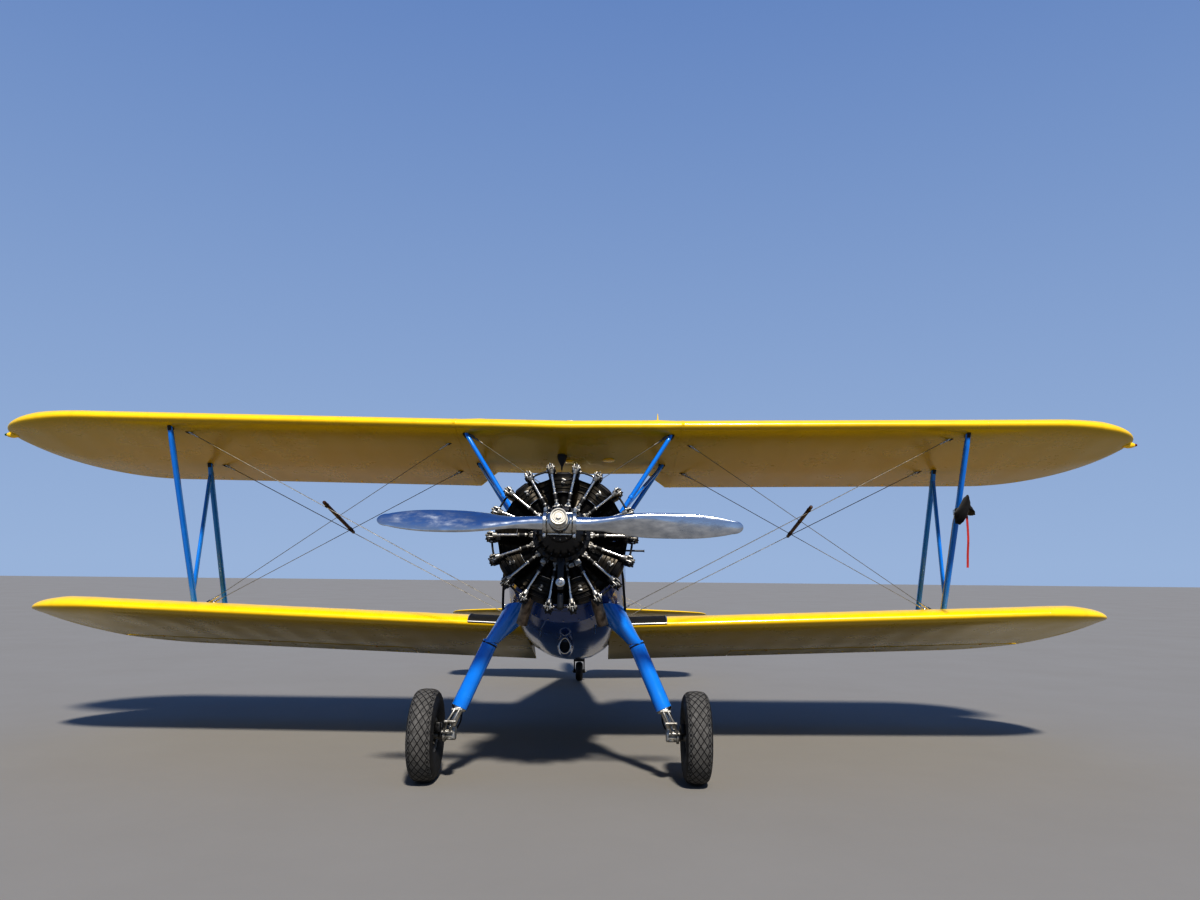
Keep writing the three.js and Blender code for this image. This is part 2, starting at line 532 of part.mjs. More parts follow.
// The lathe starts half a facet round, so that a flat facet lies on the ground
const facetDown = PI / tyreSides;
const wheelTurned = (profile, place) => {
  const made = turned(profile, tyreSides, [0, 1, 0], [0, 0, 0], facetDown);
  return made.rotate([0, 0, -90]).translate(place);
};
const wheelProfile = (tyre, bore, cap) => [
  [bore, -cap], [bore * 2, -cap], [bore * 2.4, -0.45 * tyre.halfWidth], [tyre.rim - seatGap, -0.6 * tyre.halfWidth],
  [tyre.rim - seatGap, 0.6 * tyre.halfWidth], [bore * 2.4, 0.45 * tyre.halfWidth], [bore * 1.8, 0.7 * tyre.halfWidth],
  [0, 0.7 * tyre.halfWidth], [0, 0.35 * tyre.halfWidth], [bore, 0.35 * tyre.halfWidth], [bore, -cap],
];
for (const [side, way] of sides) {
  const rolling = new THREE.Group();
  rolling.position.set(way * halfTrack, mainAxleY, mainAxleZ);
  aircraft.add(rolling);
  const tyre = wheelTurned(tyreProfile(mainTyre), [0, 0, 0]);
  const disc = wheelTurned(wheelProfile(mainTyre, axleBore, 80), [0, 0, 0]);
  node(`tyre_${side}`, tyre, paint.rubber, rolling);
  node(`wheel_${side}`, way > 0 ? disc : disc.mirror([1, 0, 0]), paint.grey, rolling);
}

// Fin and rudder. Rows: [height, leading edge, trailing edge, half thickness]
function surface(rows, upright) {
  const across = [[0, 0], [0.06, 0.55], [0.3, 1], [0.75, 0.9], [1, 0.35]];
  return loft(rows.map(([station, leading, trailing, thick]) => {
    const point = ([share, t], way) => {
      const y = leading + share * (trailing - leading);
      return upright ? [way * t * thick, y, station] : [station, y, hinge.elevatorZ + way * t * thick];
    };
    return [...across.map((row) => point(row, 1)), ...across.slice(1).reverse().map((row) => point(row, -1))];
  }));
}
const finBack = hinge.rudderY - 32;
const finRows = [[150, 5830, finBack, 30], [330, 5880, finBack, 30], [700, 6075, finBack, 27], [950, 6260, finBack, 24],
  [1060, 6420, finBack, 20], [1100, 6545, finBack, 16]];
const finFull = surface(finRows, true);
const tubeBoreRadius = (torqueTube + seatGap) / facet;
const tubeBore = bar([-300, hinge.elevatorY, hinge.elevatorZ], [300, hinge.elevatorY, hinge.elevatorZ],
  tubeBoreRadius, tubeBoreRadius, tyreSides);
const rudderHinges = [420, 700, 980];
const lugAt = (height, radius, half) => bar([0, hinge.rudderY, height - half], [0, hinge.rudderY, height + half],
  radius, radius, 12);
const finLugs = rudderHinges.map((height) => joined(lugAt(height, 12, lugHalf),
  box(-7, 7, finBack - 20, hinge.rudderY, height - lugHalf, height + lugHalf)));
const fin = joined(seated(finFull, aftShell, 0, 0, 1).subtract(tubeBore), finLugs);
node("fin", fin, paint.yellow);
const rudderRows = [[-90, 6655, 6900, 20], [60, 6655, 7150, 24], [300, 6655, 7360, 26], [560, 6655, 7400, 26],
  [820, 6655, 7330, 24], [1010, 6655, 7180, 20], [1110, 6655, 7020, 15], [1150, 6670, 6880, 8]];
const rudderPost = bar([0, hinge.rudderY, -90], [0, hinge.rudderY, 1110], 24, 16, 12);
const rudderSlots = rudderHinges.map((height) => lugAt(height, 36, lugHalf + runningGap));
node("rudder", joined(surface(rudderRows, true), rudderPost).subtract(joined(rudderSlots)), paint.yellow);

// Tailplane halves and the pair of elevators on one tube. Rows: [x, leading edge, trailing edge, half thickness]
const planeBack = hinge.elevatorY - 32;
const tailRows = [[0, 5730, planeBack, 34], [400, 5790, planeBack, 34], [1100, 5925, planeBack, 30],
  [1500, 6030, planeBack, 24], [1660, 6120, planeBack, 18], [tailHalfSpan - 12, 6250, planeBack, 12]];
const tailHalf = seated(seated(surface(tailRows, false), aftShell, 1, 0, 0), finFull, 1, 0, 0)
  .subtract(box(-10, 40, 0, 9000, -900, 900));
pair("tailplane", tailHalf, paint.yellow);
const elevatorRows = [[60, hinge.elevatorY, 6960, 22], [700, hinge.elevatorY, 6975, 22], [1250, hinge.elevatorY, 6920, 20],
  [1560, hinge.elevatorY, 6790, 16], [1680, hinge.elevatorY, 6660, 12], [tailHalfSpan, hinge.elevatorY, 6560, 6]];
const notch = new THREE.Shape([[0, hinge.elevatorY + 20], [75, hinge.elevatorY + 20], [330, 7000], [0, 7000]]
  .map(([x, y]) => new THREE.Vector2(x, y)));
const notchPlug = solid(new THREE.ExtrudeGeometry(notch, { depth: 400, bevelEnabled: false }).translate(0, 0, 100));
const elevatorHalf = joined(surface(elevatorRows, false),
  bar([60, hinge.elevatorY, hinge.elevatorZ], [1690, hinge.elevatorY, hinge.elevatorZ], 24, 12, 12)).subtract(notchPlug);
const elevators = joined(both(elevatorHalf),
  bar([-80, hinge.elevatorY, hinge.elevatorZ], [80, hinge.elevatorY, hinge.elevatorZ], torqueTube, torqueTube,
    tyreSides));
node("elevators", elevators, paint.yellow);

// Tailwheel: bracket on the fuselage, and a fork that swivels about an upright pivot in the ground frame
const swivelY = tailContactY - swivelLead;
const tailAxleZ = tailTyre.radius * facet;
const pivotLow = 336;
const pivotHigh = 410;
const bracketFoot = toLevel(swivelY, pivotHigh);
const bracketRing = (y, z, wide, long) => Array.from({ length: 12 }, (_, k) => {
  const turn = (2 * PI * k) / 12;
  return [wide * cos(turn), y + long * sin(turn), z];
});
const bracketLow = toLevel(swivelY, pivotLow + 6 + runningGap);
const bracket = joined(
  loft([bracketRing(6290, -100, 40, 130), bracketRing(bracketFoot[0], bracketFoot[1], 36, 60)]),
  bar([0, ...bracketFoot], [0, ...bracketLow], 34, 34, 12),
);
node("tailwheel_bracket", seated(bracket, aftShell, 0, 0, -1), paint.black);
const swivel = new THREE.Group();
swivel.position.set(0, swivelY, 0);
aircraft.add(swivel);
const forkCrown = pivotLow;
const fork = joined(
  bar([0, 0, forkCrown - 46], [0, 0, forkCrown + 6], 30, 30, 12),
  box(-72, 72, -30, 40, forkCrown - 76, forkCrown - 40),
  both(loft([[forkCrown - 45, -28, 38], [tailAxleZ, swivelLead - 26, swivelLead + 26]].map(([z, y0, y1]) =>
    [[58, y0, z], [72, y0, z], [72, y1, z], [58, y1, z]]))),
  both(bar([tailHubHalf + runningGap, swivelLead, tailAxleZ], [78, swivelLead, tailAxleZ], 24, 24, 12)),
);
node("tailwheel_fork", fork, paint.black, swivel);
const tailRolling = new THREE.Group();
tailRolling.position.set(0, tailContactY, tailAxleZ);
aircraft.add(tailRolling);
node("tailwheel_tyre", wheelTurned(tyreProfile(tailTyre), [0, 0, 0]), paint.rubber, tailRolling);
node("tailwheel_hub", wheelTurned([[0, -tailHubHalf], [40, -tailHubHalf], [tailTyre.rim - seatGap, -28],
  [tailTyre.rim - seatGap, 28], [40, tailHubHalf], [0, tailHubHalf]], [0, 0, 0]), paint.grey, tailRolling);

// Pitot head on the left front interplane strut, under its fabric cover
const [px, py, pz] = between(...interplaneFront, 0.58);
const pitot = joined(box(px - 30, px + 30, py - 75, py + 20, pz - 22, pz + 22),
  bar([px, py - 60, pz], [px, py - 190, pz], 9, 9, 8));
const strutRoom = joined([[1, 0], [-1, 0], [0, -1]].map(([x, y]) =>
  interplaneFrame.translate([x * seatGap, y * seatGap, 0])));
node("pitot_head", largest(pitot.subtract(strutRoom)), paint.steel);
// Cover rows: [y, half width, half height]
const coverRows = [[py - 190.3, 30, 40], [py - 230, 55, 100], [py - 300, 50, 90], [py - 330, 20, 40]];
const coverRing = ([y, wide, tall]) => Array.from({ length: 10 }, (_, k) =>
  [px + wide * cos((PI * k) / 5), y, pz - 20 + tall * sin((PI * k) / 5)]);
node("pitot_cover", loft(coverRows.map(coverRing)), paint.black);

// The origin is under the middle of the whole aircraft, on the floor
aircraft.updateMatrixWorld(true);
const reach = new THREE.Box3().setFromObject(aircraft, true);
aircraft.position.set(0, -(reach.min.y + reach.max.y) / 2, -reach.min.z);

export default aircraft;
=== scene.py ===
# Looks of a two-seat open-cockpit biplane trainer with a nine-cylinder radial engine, parked on its wheels.
import json
import math

import bmesh
import bpy
from mathutils import Matrix, Vector


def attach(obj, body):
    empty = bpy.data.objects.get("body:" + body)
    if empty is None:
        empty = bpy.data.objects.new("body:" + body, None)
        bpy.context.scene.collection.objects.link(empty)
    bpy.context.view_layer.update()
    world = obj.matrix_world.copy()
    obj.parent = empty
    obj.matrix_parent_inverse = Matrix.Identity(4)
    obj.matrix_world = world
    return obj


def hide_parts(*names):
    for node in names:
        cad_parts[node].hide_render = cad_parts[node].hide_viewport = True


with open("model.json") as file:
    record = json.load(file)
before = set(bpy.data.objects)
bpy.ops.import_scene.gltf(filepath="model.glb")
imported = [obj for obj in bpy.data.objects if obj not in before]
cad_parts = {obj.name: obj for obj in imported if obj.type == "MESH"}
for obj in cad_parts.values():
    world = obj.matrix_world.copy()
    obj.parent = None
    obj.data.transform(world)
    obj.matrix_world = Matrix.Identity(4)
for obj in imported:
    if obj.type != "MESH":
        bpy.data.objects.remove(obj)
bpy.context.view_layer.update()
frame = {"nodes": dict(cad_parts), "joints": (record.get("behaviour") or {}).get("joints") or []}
scene = bpy.context.scene
joints = {joint["name"]: joint for joint in frame["joints"]}
cos, sin, tan, pi, tau, radians = math.cos, math.sin, math.tan, math.pi, math.tau, math.radians
at, blank = Matrix.Translation, bmesh.new


def spun(degrees, axis="X"):
    return Matrix.Rotation(radians(degrees), 4, axis)


# Level frame: X sideways, Y aft of the propeller hub, Z up with the fuselage level, in metres
hub_place = Vector(joints["propeller_spin"]["pos_m"])
shaft = Vector(joints["propeller_spin"]["axis"])
if shaft.y < 0:
    shaft.negate()
nose_up = math.atan2(-shaft.z, shaft.y)
LEVEL = at(hub_place) @ Matrix.Rotation(-nose_up, 4, "X")
# Local Z turned aft, and local Z turned sideways
AFT, ACROSS = spun(-90), spun(90, "Y")
# The two sides, and the mirror that turns the left one into the right one
SIDES = (("left", Matrix()), ("right", Matrix.Diagonal((-1, 1, 1, 1))))

# Camera at the photograph's place, as an offset from the hub
lens = bpy.data.cameras.new("photo_camera")
lens.lens = 26.985
lens.sensor_width = 36
camera = bpy.data.objects.new("photo_camera", lens)
scene.collection.objects.link(camera)
scene.camera = camera
view_yaw, view_pitch, view_roll = -0.0026, 0.1222, 0.0097
forward = Vector((sin(view_yaw) * cos(view_pitch), cos(view_yaw) * cos(view_pitch), sin(view_pitch)))
level_right = Vector((cos(view_yaw), -sin(view_yaw), 0))
level_up = level_right.cross(forward)
view_right = level_right * cos(view_roll) + level_up * sin(view_roll)
view_up = view_right.cross(forward)
eye = hub_place + Vector((0.2833, -6.1114, -0.2458))
camera.matrix_world = at(eye) @ Matrix((view_right, view_up, -forward)).transposed().to_4x4()


# Small tools for numbers and places
def along(rows, place):
    """The row at a place between the rows of a table, on a smooth curve through them."""
    last = len(rows) - 1
    i = max(k for k in range(last) if k == 0 or rows[k][0] <= place)
    before, a, b, after = rows[max(i - 1, 0)], rows[i], rows[i + 1], rows[min(i + 2, last)]
    span = b[0] - a[0]
    t = min(1, max(0, (place - a[0]) / span))
    found = []
    for p, q, r, s in zip(before, a, b, after):
        leaving = (r - p) / (b[0] - before[0]) * span
        coming = (s - q) / (after[0] - a[0]) * span
        found.append(q * (1 + 2 * t) * (1 - t) ** 2 + leaving * t * (1 - t) ** 2
                     + r * t * t * (3 - 2 * t) - coming * t * t * (1 - t))
    return found


def even(start, end, count):
    """Evenly spaced numbers or places, in a count of steps."""
    return [start + (end - start) * k / count for k in range(count + 1)]


def circle(count, reach, start=0.0):
    """Pairs evenly round a circle."""
    return [(reach * cos(a), reach * sin(a)) for a in (tau * (k + start) / count for k in range(count))]


def bent(share, power):
    """A share raised to a power with its sign kept, which squares up an oval."""
    return math.copysign(abs(share) ** power, share)


def aimed(start, end):
    """The place of a body whose local Z runs from start to end."""
    way = Vector(end) - Vector(start)
    return at(start) @ way.to_track_quat("Z", "Y").to_matrix().to_4x4()


def doubled(half):
    """A profile and its mirror image, for a turned body that is the same at both ends."""
    return half + [(radius, -height) for radius, height in reversed(half)]


def route(points, steps=6):
    """A smooth line through points."""
    rows = [[k, *point] for k, point in enumerate(points)]
    return [Vector(along(rows, k / steps)[1:]) for k in range(steps * (len(points) - 1) + 1)]


# Small tools for meshes
def thing(name, bm):
    """An object in the scene from a mesh."""
    mesh = bpy.data.meshes.new(name)
    bm.to_mesh(mesh)
    bm.free()
    obj = bpy.data.objects.new(name, mesh)
    scene.collection.objects.link(obj)
    return obj


def baked(obj):
    """A piece's mesh with its modifiers applied."""
    bpy.context.view_layer.update()
    return bpy.data.meshes.new_from_object(obj.evaluated_get(bpy.context.evaluated_depsgraph_get()))


def move(bm, place):
    """Moves a mesh; a mirrored one has its faces turned to point outwards again."""
    bmesh.ops.transform(bm, matrix=place, verts=bm.verts)
    if place.determinant() < 0:
        bmesh.ops.reverse_faces(bm, faces=bm.faces)


def everything(bm):
    return bm.verts[:] + bm.edges[:] + bm.faces[:]


def join(bm, part, place=Matrix()):
    """Moves a finished shape into place and adds it to a mesh."""
    move(part, place)
    mesh = bpy.data.meshes.new("part")
    part.to_mesh(mesh)
    part.free()
    bm.from_mesh(mesh)
    bpy.data.meshes.remove(mesh)


def twinned(bm):
    """Adds a mesh's mirror image on the other side."""
    bmesh.ops.mirror(bm, geom=everything(bm), matrix=Matrix(), axis="X", merge_dist=-1)
    bmesh.ops.recalc_face_normals(bm, faces=bm.faces)


def skin(bm, rings, capped=True, place=Matrix()):
    """A skin over rings of points with the same count."""
    part = blank()
    count = len(rings[0])
    corners = bmesh.ops.create_grid(part, x_segments=count, y_segments=len(rings) - 1, size=0.5)["verts"]
    for corner in corners:
        i = round((corner.co.x + 0.5) * count)
        j = round((corner.co.y + 0.5) * (len(rings) - 1))
        corner.co = rings[j][i % count]
    bmesh.ops.remove_doubles(part, verts=part.verts, dist=1e-5)
    if capped:
        rims = [edge for edge in part.edges if edge.is_boundary]
        bmesh.ops.holes_fill(part, edges=rims, sides=0)
    bmesh.ops.recalc_face_normals(part, faces=part.faces)
    join(bm, part, place)


def turn(bm, profile, place=Matrix(), steps=32):
    """A body turned about the local Z axis from pairs of radius and height."""
    part = blank()
    corners = [part.verts.new((radius, 0, height)) for radius, height in profile]
    edges = [part.edges.new(pair) for pair in zip(corners, corners[1:])]
    bmesh.ops.spin(part, geom=corners + edges, cent=(0, 0, 0), axis=(0, 0, 1), dvec=(0, 0, 0), angle=tau,
                   steps=steps, use_merge=True, use_duplicate=False)
    bmesh.ops.remove_doubles(part, verts=part.verts, dist=1e-5)
    bmesh.ops.recalc_face_normals(part, faces=part.faces)
    join(bm, part, place)


def rod(bm, start, end, radius, end_radius=None, sides=12):
    long = (Vector(end) - Vector(start)).length
    bmesh.ops.create_cone(bm, cap_ends=True, segments=sides, radius1=radius,
                          radius2=radius if end_radius is None else end_radius, depth=long,
                          matrix=aimed(start, end) @ at((0, 0, long / 2)))


def nut(bm, start, end, radius, end_radius=None):
    rod(bm, start, end, radius, end_radius, 6)


def pin(bm, spot, half, radius, sides=12):
    """A pin that lies sideways with its middle at a spot."""
    reach = Vector((half, 0, 0))
    rod(bm, Vector(spot) - reach, Vector(spot) + reach, radius, sides=sides)


def cube(bm, size, place):
    return bmesh.ops.create_cube(bm, size=1, matrix=place @ Matrix.Diagonal((*size, 1)))["verts"]


def block(bm, size, place=Matrix(), edge=0.004, segments=2):
    """A block with rounded edges, at a place or turned by a matrix."""
    corners = cube(bm, size, place if isinstance(place, Matrix) else at(place))
    edges = list({side for corner in corners for side in corner.link_edges})
    bmesh.ops.bevel(bm, geom=edges, offset=edge, offset_type="OFFSET", segments=segments, profile=0.5,
                    affect="EDGES", clamp_overlap=True, material=-1)


def around(bm, count):
    """Repeats everything in the mesh evenly about the propeller's axis."""
    bmesh.ops.spin(bm, geom=everything(bm), cent=(0, 0, 0), axis=(0, 1, 0), dvec=(0, 0, 0),
                   angle=tau * (count - 1) / count, steps=count - 1, use_merge=False, use_duplicate=True)


def sweep(bm, path, radius, sides=10, closed=False, flat=1.0, bore=None):
    """A bar along a path, round or flattened, whose radius may change from point to point. A bore is the
    share of the radius that is open at the far end, and how many points deep."""
    last = len(path) - 1
    rings, side = [], None
    for k, place in enumerate(path):
        ahead = path[(k + 1) % len(path)] if closed or k < last else place
        behind = path[k - 1] if closed or k else place
        way = (ahead - behind).normalized()
        side = way.orthogonal() if side is None else side - way * side.dot(way)
        side.normalize()
        reach = radius[k] if isinstance(radius, list) else radius
        over = flat * way.cross(side)
        rings.append([place + side * across + over * up for across, up in circle(sides, reach)])
    if bore:
        share, deep = bore
        rings += [[path[last - k].lerp(point, share) for point in rings[last - k]] for k in range(deep)]
    skin(bm, rings + rings[:1] if closed else rings, capped=not closed)


def strap(bm, path, across, thick):
    """A flat strap along a path, and its length."""
    last, rings = len(path) - 1, []
    for k, spot in enumerate(path):
        out = (path[min(k + 1, last)] - path[max(k - 1, 0)]).cross(across).normalized() * thick / 2
        half = across / 2
        rings.append([spot + half + out, spot - half + out, spot - half - out, spot + half - out])
    skin(bm, rings)
    return sum((b - a).length for a, b in zip(path, path[1:]))


def shade(obj, crease):
    """Smooth shading that breaks at edges sharper than the crease."""
    bm = blank()
    bm.from_mesh(obj.data)
    for face in bm.faces:
        face.smooth = True
    for edge in bm.edges:
        edge.smooth = len(edge.link_faces) != 2 or edge.calc_face_angle(0) < radians(crease)
    bm.to_mesh(obj.data)
    bm.free()


def make(name, bm, finish, slot, body="airframe", replaces="", place=LEVEL, twin=False, crease=35):
    """Turns a mesh into a piece that rides on a body; twin adds its mirror image on the other side."""
    if twin:
        twinned(bm)
    move(bm, place)
    obj = thing(name, bm)
    obj.data.materials.append(finish)
    shade(obj, crease)
    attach(obj, body)
    if replaces:
        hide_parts(*replaces.split())
    return obj


def carve(obj, cutters, finish=None, place=LEVEL, crease=50):
    """Cuts a mesh out of a piece; the cut faces take the cutter's material."""
    move(cutters, place)
    cutter = thing("cutter", cutters)
    cutter.data.materials.append(finish or obj.data.materials[0])
    change = obj.modifiers.new("cut", "BOOLEAN")
    change.operation = "DIFFERENCE"
    change.solver = "EXACT"
    change.material_mode = "TRANSFER"
    change.object = cutter
    cut = baked(obj)
    obj.modifiers.clear()
    obj.data = cut
    bpy.data.objects.remove(cutter)
    shade(obj, crease)


def pair(name, bm, finish, slot, body="airframe", replaces="", cutters=(), **rest):
    """The left piece and its mirror image on the right, with meshes cut out of both. A star in a name
    stands for the side."""
    made = []
    for side, flip in SIDES:
        half = bm.copy()
        move(half, flip)
        made.append(make(name.replace("*", side), half, finish, slot, body.replace("*", side),
                         replaces.replace("*", side), **rest))
        for cutter in cutters:
            carve(made[-1], cutter.copy(), place=LEVEL @ flip)
    for mesh in (bm, *cutters):
        mesh.free()
    return made


def stuffed(name, size, place, finish):
    """A stuffed pad: a block blown up as cloth, flat underneath, with two sewn channels and a piped seam."""
    bm = blank()
    block(bm, size, Matrix(), 0.35 * size[2], 3)
    pad = thing(name, bm)

    def settle():
        pad.data = baked(pad)
        pad.modifiers.clear()
    voxels = pad.modifiers.new("voxels", "REMESH")
    voxels.mode = "VOXEL"
    voxels.voxel_size = 0.010
    settle()
    slack = [corner.co.copy() for corner in pad.data.vertices]
    cloth = pad.modifiers.new("cloth", "CLOTH")
    cloth.settings.use_pressure = True
    cloth.settings.uniform_pressure_force = 4
    cloth.settings.effector_weights.gravity = 0
    for step in range(1, 21):
        scene.frame_set(step)
    settle()
    scene.frame_set(1)
    swell, channel = 0.006, 0.006
    for corner, start in zip(pad.data.vertices, slack):
        swollen = corner.co - start
        spot = start + swollen * min(1, swell / max(swollen.length, 1e-9))
        above = max(0, spot.z / size[2] + 0.5)
        crown = (1 - (2 * spot.x / size[0]) ** 4) * (1 - (2 * spot.y / size[1]) ** 4)
        sewn = math.exp(-((abs(spot.x) - size[0] / 6) / channel) ** 2)
        spot.z += above * (swell * max(0, crown) - 0.8 * swell * sewn)
        spot.z = max(spot.z, -size[2] / 2)
        corner.co = spot
    fine = pad.modifiers.new("fine", "SUBSURF")
    fine.levels = fine.render_levels = 1
    settle()
    bm = blank()
    bm.from_mesh(pad.data)
    bpy.data.objects.remove(pad)
    make(name, bm, finish, "cover_cloth", place=LEVEL @ place, crease=80)
    piping = blank()
    rim = [Vector((bent(across, 0.25) * (size[0] / 2 + 0.001), bent(fore, 0.25) * (size[1] / 2 + 0.001),
                   0.30 * size[2])) for across, fore in circle(96, 1)]
    sweep(piping, rim, 0.0032, 8, closed=True)
    make(f"{name}_piping", piping, leather, "cover_cloth", place=LEVEL @ place)


def dress(node, finish, slot, body="airframe", edge=0.003):
    """A CAD node's own shape with merged corners, eased edges and smooth shading."""
    bm = blank()
    bm.from_mesh(frame["nodes"][node].data)
    bmesh.ops.remove_doubles(bm, verts=bm.verts, dist=1e-5)
    bmesh.ops.dissolve_limit(bm, angle_limit=radians(1), verts=bm.verts, edges=bm.edges)
    sharp = [side for side in bm.edges if side.calc_face_angle(0) > radians(35)]
    bmesh.ops.bevel(bm, geom=sharp, offset=edge, offset_type="OFFSET", segments=2, profile=0.5,
                    affect="EDGES", clamp_overlap=True, material=-1)
    make(f"{node}_dressed", bm, finish, slot, body, node, Matrix())


# Tools for materials
def rgb(code):
    """An sRGB hex colour as a linear one."""
    shares = [int(code[k:k + 2], 16) / 255 for k in (1, 3, 5)]
    return (*(s / 12.92 if s <= 0.04045 else ((s + 0.055) / 1.055) ** 2.4 for s in shares), 1)


def add(tree, kind, sockets=None, **settings):
    """Adds a shader node with its settings, and its sockets' values and links."""
    node = tree.nodes.new("ShaderNode" + kind)
    for key, value in settings.items():
        setattr(node, key, value)
    for key, value in (sockets or {}).items():
        if isinstance(value, bpy.types.NodeSocket):
            tree.links.new(value, node.inputs[key])
        else:
            node.inputs[key].default_value = value
    return node


def material(name, **sockets):
    """A new material, its node tree and its main shader."""
    made = bpy.data.materials.new(name)
    made.use_nodes = True
    shader = made.node_tree.nodes["Principled BSDF"]
    for key, value in sockets.items():
        shader.inputs[key.replace("_", " ")].default_value = value
    return made, made.node_tree, shader


def level_spot(tree):
    """Object coordinates turned back into the level frame."""
    back = LEVEL.inverted()
    spot = add(tree, "TexCoord").outputs["Object"]
    return add(tree, "Mapping", {"Vector": spot, "Location": back.translation,
                                 "Rotation": back.to_euler()}).outputs["Vector"]


def surface(name, shades, roughness, patch_mm, grain_mm, bump_mm, stretch=(1, 1, 1), **sockets):
    """A material whose colour and gloss drift over patches, over a fine grain of a real size and depth."""
    made, tree, shader = material(name, **sockets)
    spot = add(tree, "TexCoord").outputs["Object"]
    spread = add(tree, "Mapping", {"Vector": spot, "Scale": stretch}).outputs["Vector"]
    patches = add(tree, "TexNoise", {"Vector": spread, "Scale": 1000 / patch_mm, "Detail": 5.0,
                                     "Roughness": 0.6}).outputs["Fac"]
    grain = add(tree, "TexNoise", {"Vector": spread, "Scale": 1000 / grain_mm, "Detail": 2.0})
    drift = add(tree, "MapRange", {"Value": patches, "From Min": 0.3, "From Max": 0.7}).outputs["Result"]
    colour = add(tree, "Mix", {0: drift, 6: rgb(shades[0]), 7: rgb(shades[1])}, data_type="RGBA")
    tree.links.new(colour.outputs[2], shader.inputs["Base Color"])
    gloss = add(tree, "MapRange", {"Value": patches, "From Min": 0.3, "From Max": 0.7,
                                   "To Min": roughness[0], "To Max": roughness[1]})
    tree.links.new(gloss.outputs["Result"], shader.inputs["Roughness"])
    bump = add(tree, "Bump", {"Height": grain.outputs["Fac"], "Strength": 1.0, "Distance": bump_mm / 1000})
    tree.links.new(bump.outputs["Normal"], shader.inputs["Normal"])
    return made


def painted_fabric(name, shade_hex, worn_hex, underside_shade_hex, rib_pitch, tape, ribs="X"):
    """Doped fabric under gloss enamel: smooth and taut, with pinked tapes over the ribs and painted shade
    underneath.
    """
    made, tree, shader = material(name, Coat_Weight=0.3, Coat_Roughness=0.1)
    spot = level_spot(tree)
    parts = add(tree, "SeparateXYZ", {"Vector": spot})
    # Pinking shears leave teeth of about 8 mm along both edges of a tape
    teeth = add(tree, "Math", {0: parts.outputs["Y"], 1: 0.004}, operation="PINGPONG").outputs["Value"]
    off_rib = add(tree, "Math", {0: parts.outputs[ribs], 1: rib_pitch / 2},
                  operation="PINGPONG").outputs["Value"]
    reach = add(tree, "Math", {0: off_rib, 1: teeth}).outputs["Value"]
    taped = add(tree, "MapRange", {"Value": reach, "From Min": tape / 2, "From Max": tape / 2 + 0.0012,
                                   "To Min": 1.0, "To Max": 0.0}).outputs["Result"]
    # The threads are far finer than this; 6 mm is the finest weave that can show here
    weave_x = add(tree, "TexWave", {"Vector": spot, "Scale": 50.0}, bands_direction="X").outputs["Fac"]
    weave_y = add(tree, "TexWave", {"Vector": spot, "Scale": 50.0}, bands_direction="Y").outputs["Fac"]
    weave = add(tree, "Math", {0: weave_x, 1: weave_y}, operation="MULTIPLY").outputs["Value"]
    height = add(tree, "Math", {0: weave, 1: 0.02, 2: taped}, operation="MULTIPLY_ADD").outputs["Value"]
    fine = add(tree, "Bump", {"Height": height, "Strength": 0.6, "Distance": 0.0006}).outputs["Normal"]
    ripple = add(tree, "TexNoise", {"Vector": spot, "Scale": 9.0, "Detail": 2.0}).outputs["Fac"]
    bump = add(tree, "Bump", {"Height": ripple, "Strength": 0.3, "Distance": 0.002, "Normal": fine})
    for socket in ("Normal", "Coat Normal"):
        tree.links.new(bump.outputs["Normal"], shader.inputs[socket])
    dirt = add(tree, "TexNoise", {"Vector": spot, "Scale": 2.2, "Detail": 6.0,
                                  "Roughness": 0.65}).outputs["Fac"]
    drift = add(tree, "MapRange", {"Value": dirt, "From Min": 0.35, "From Max": 0.75}).outputs["Result"]
    edge = add(tree, "Math", {0: taped, 1: 0.25, 2: drift}, operation="MULTIPLY_ADD").outputs["Value"]
    colour = add(tree, "Mix", {0: edge, 6: rgb(shade_hex), 7: rgb(worn_hex)}, data_type="RGBA").outputs[2]
    # Painted shade: faces that turn downwards are darkened to an olive yellow
    facing = add(tree, "SeparateXYZ", {"Vector": add(tree, "NewGeometry").outputs["Normal"]}).outputs["Z"]
    under = add(tree, "MapRange", {"Value": facing, "From Min": -0.35, "From Max": -0.8}).outputs["Result"]
    colour = add(tree, "Mix", {0: under, 6: colour, 7: rgb(underside_shade_hex)}, data_type="RGBA").outputs[2]
    tree.links.new(colour, shader.inputs["Base Color"])
    gloss = add(tree, "MapRange", {"Value": dirt, "From Min": 0.3, "From Max": 0.8,
                                   "To Min": 0.24, "To Max": 0.38})
    tree.links.new(gloss.outputs["Result"], shader.inputs["Roughness"])
    return made


RIB_PITCH, TAIL_PITCH = 0.318, 0.270
# The third colour is painted shade, an olive yellow for the fabric's undersides
YELLOW, UNDERSIDE_SHADE = ("#f5cb12", "#eabd0e"), "#b0950c"
wing_cloth = painted_fabric("yellow_doped_fabric", *YELLOW, UNDERSIDE_SHADE, RIB_PITCH, 0.045)
tail_cloth = painted_fabric("yellow_doped_fabric_tailplane", *YELLOW, UNDERSIDE_SHADE, TAIL_PITCH, 0.035)
fin_cloth = painted_fabric("yellow_doped_fabric_fin", *YELLOW, UNDERSIDE_SHADE, TAIL_PITCH, 0.035, "Z")
# Yellow enamel on small spun aluminium parts: smooth and glossy
yellow_enamel = surface("yellow_enamel_on_aluminium", YELLOW, (0.18, 0.3), 120, 5, 0.04, Coat_Weight=0.6,
                        Coat_Roughness=0.06)


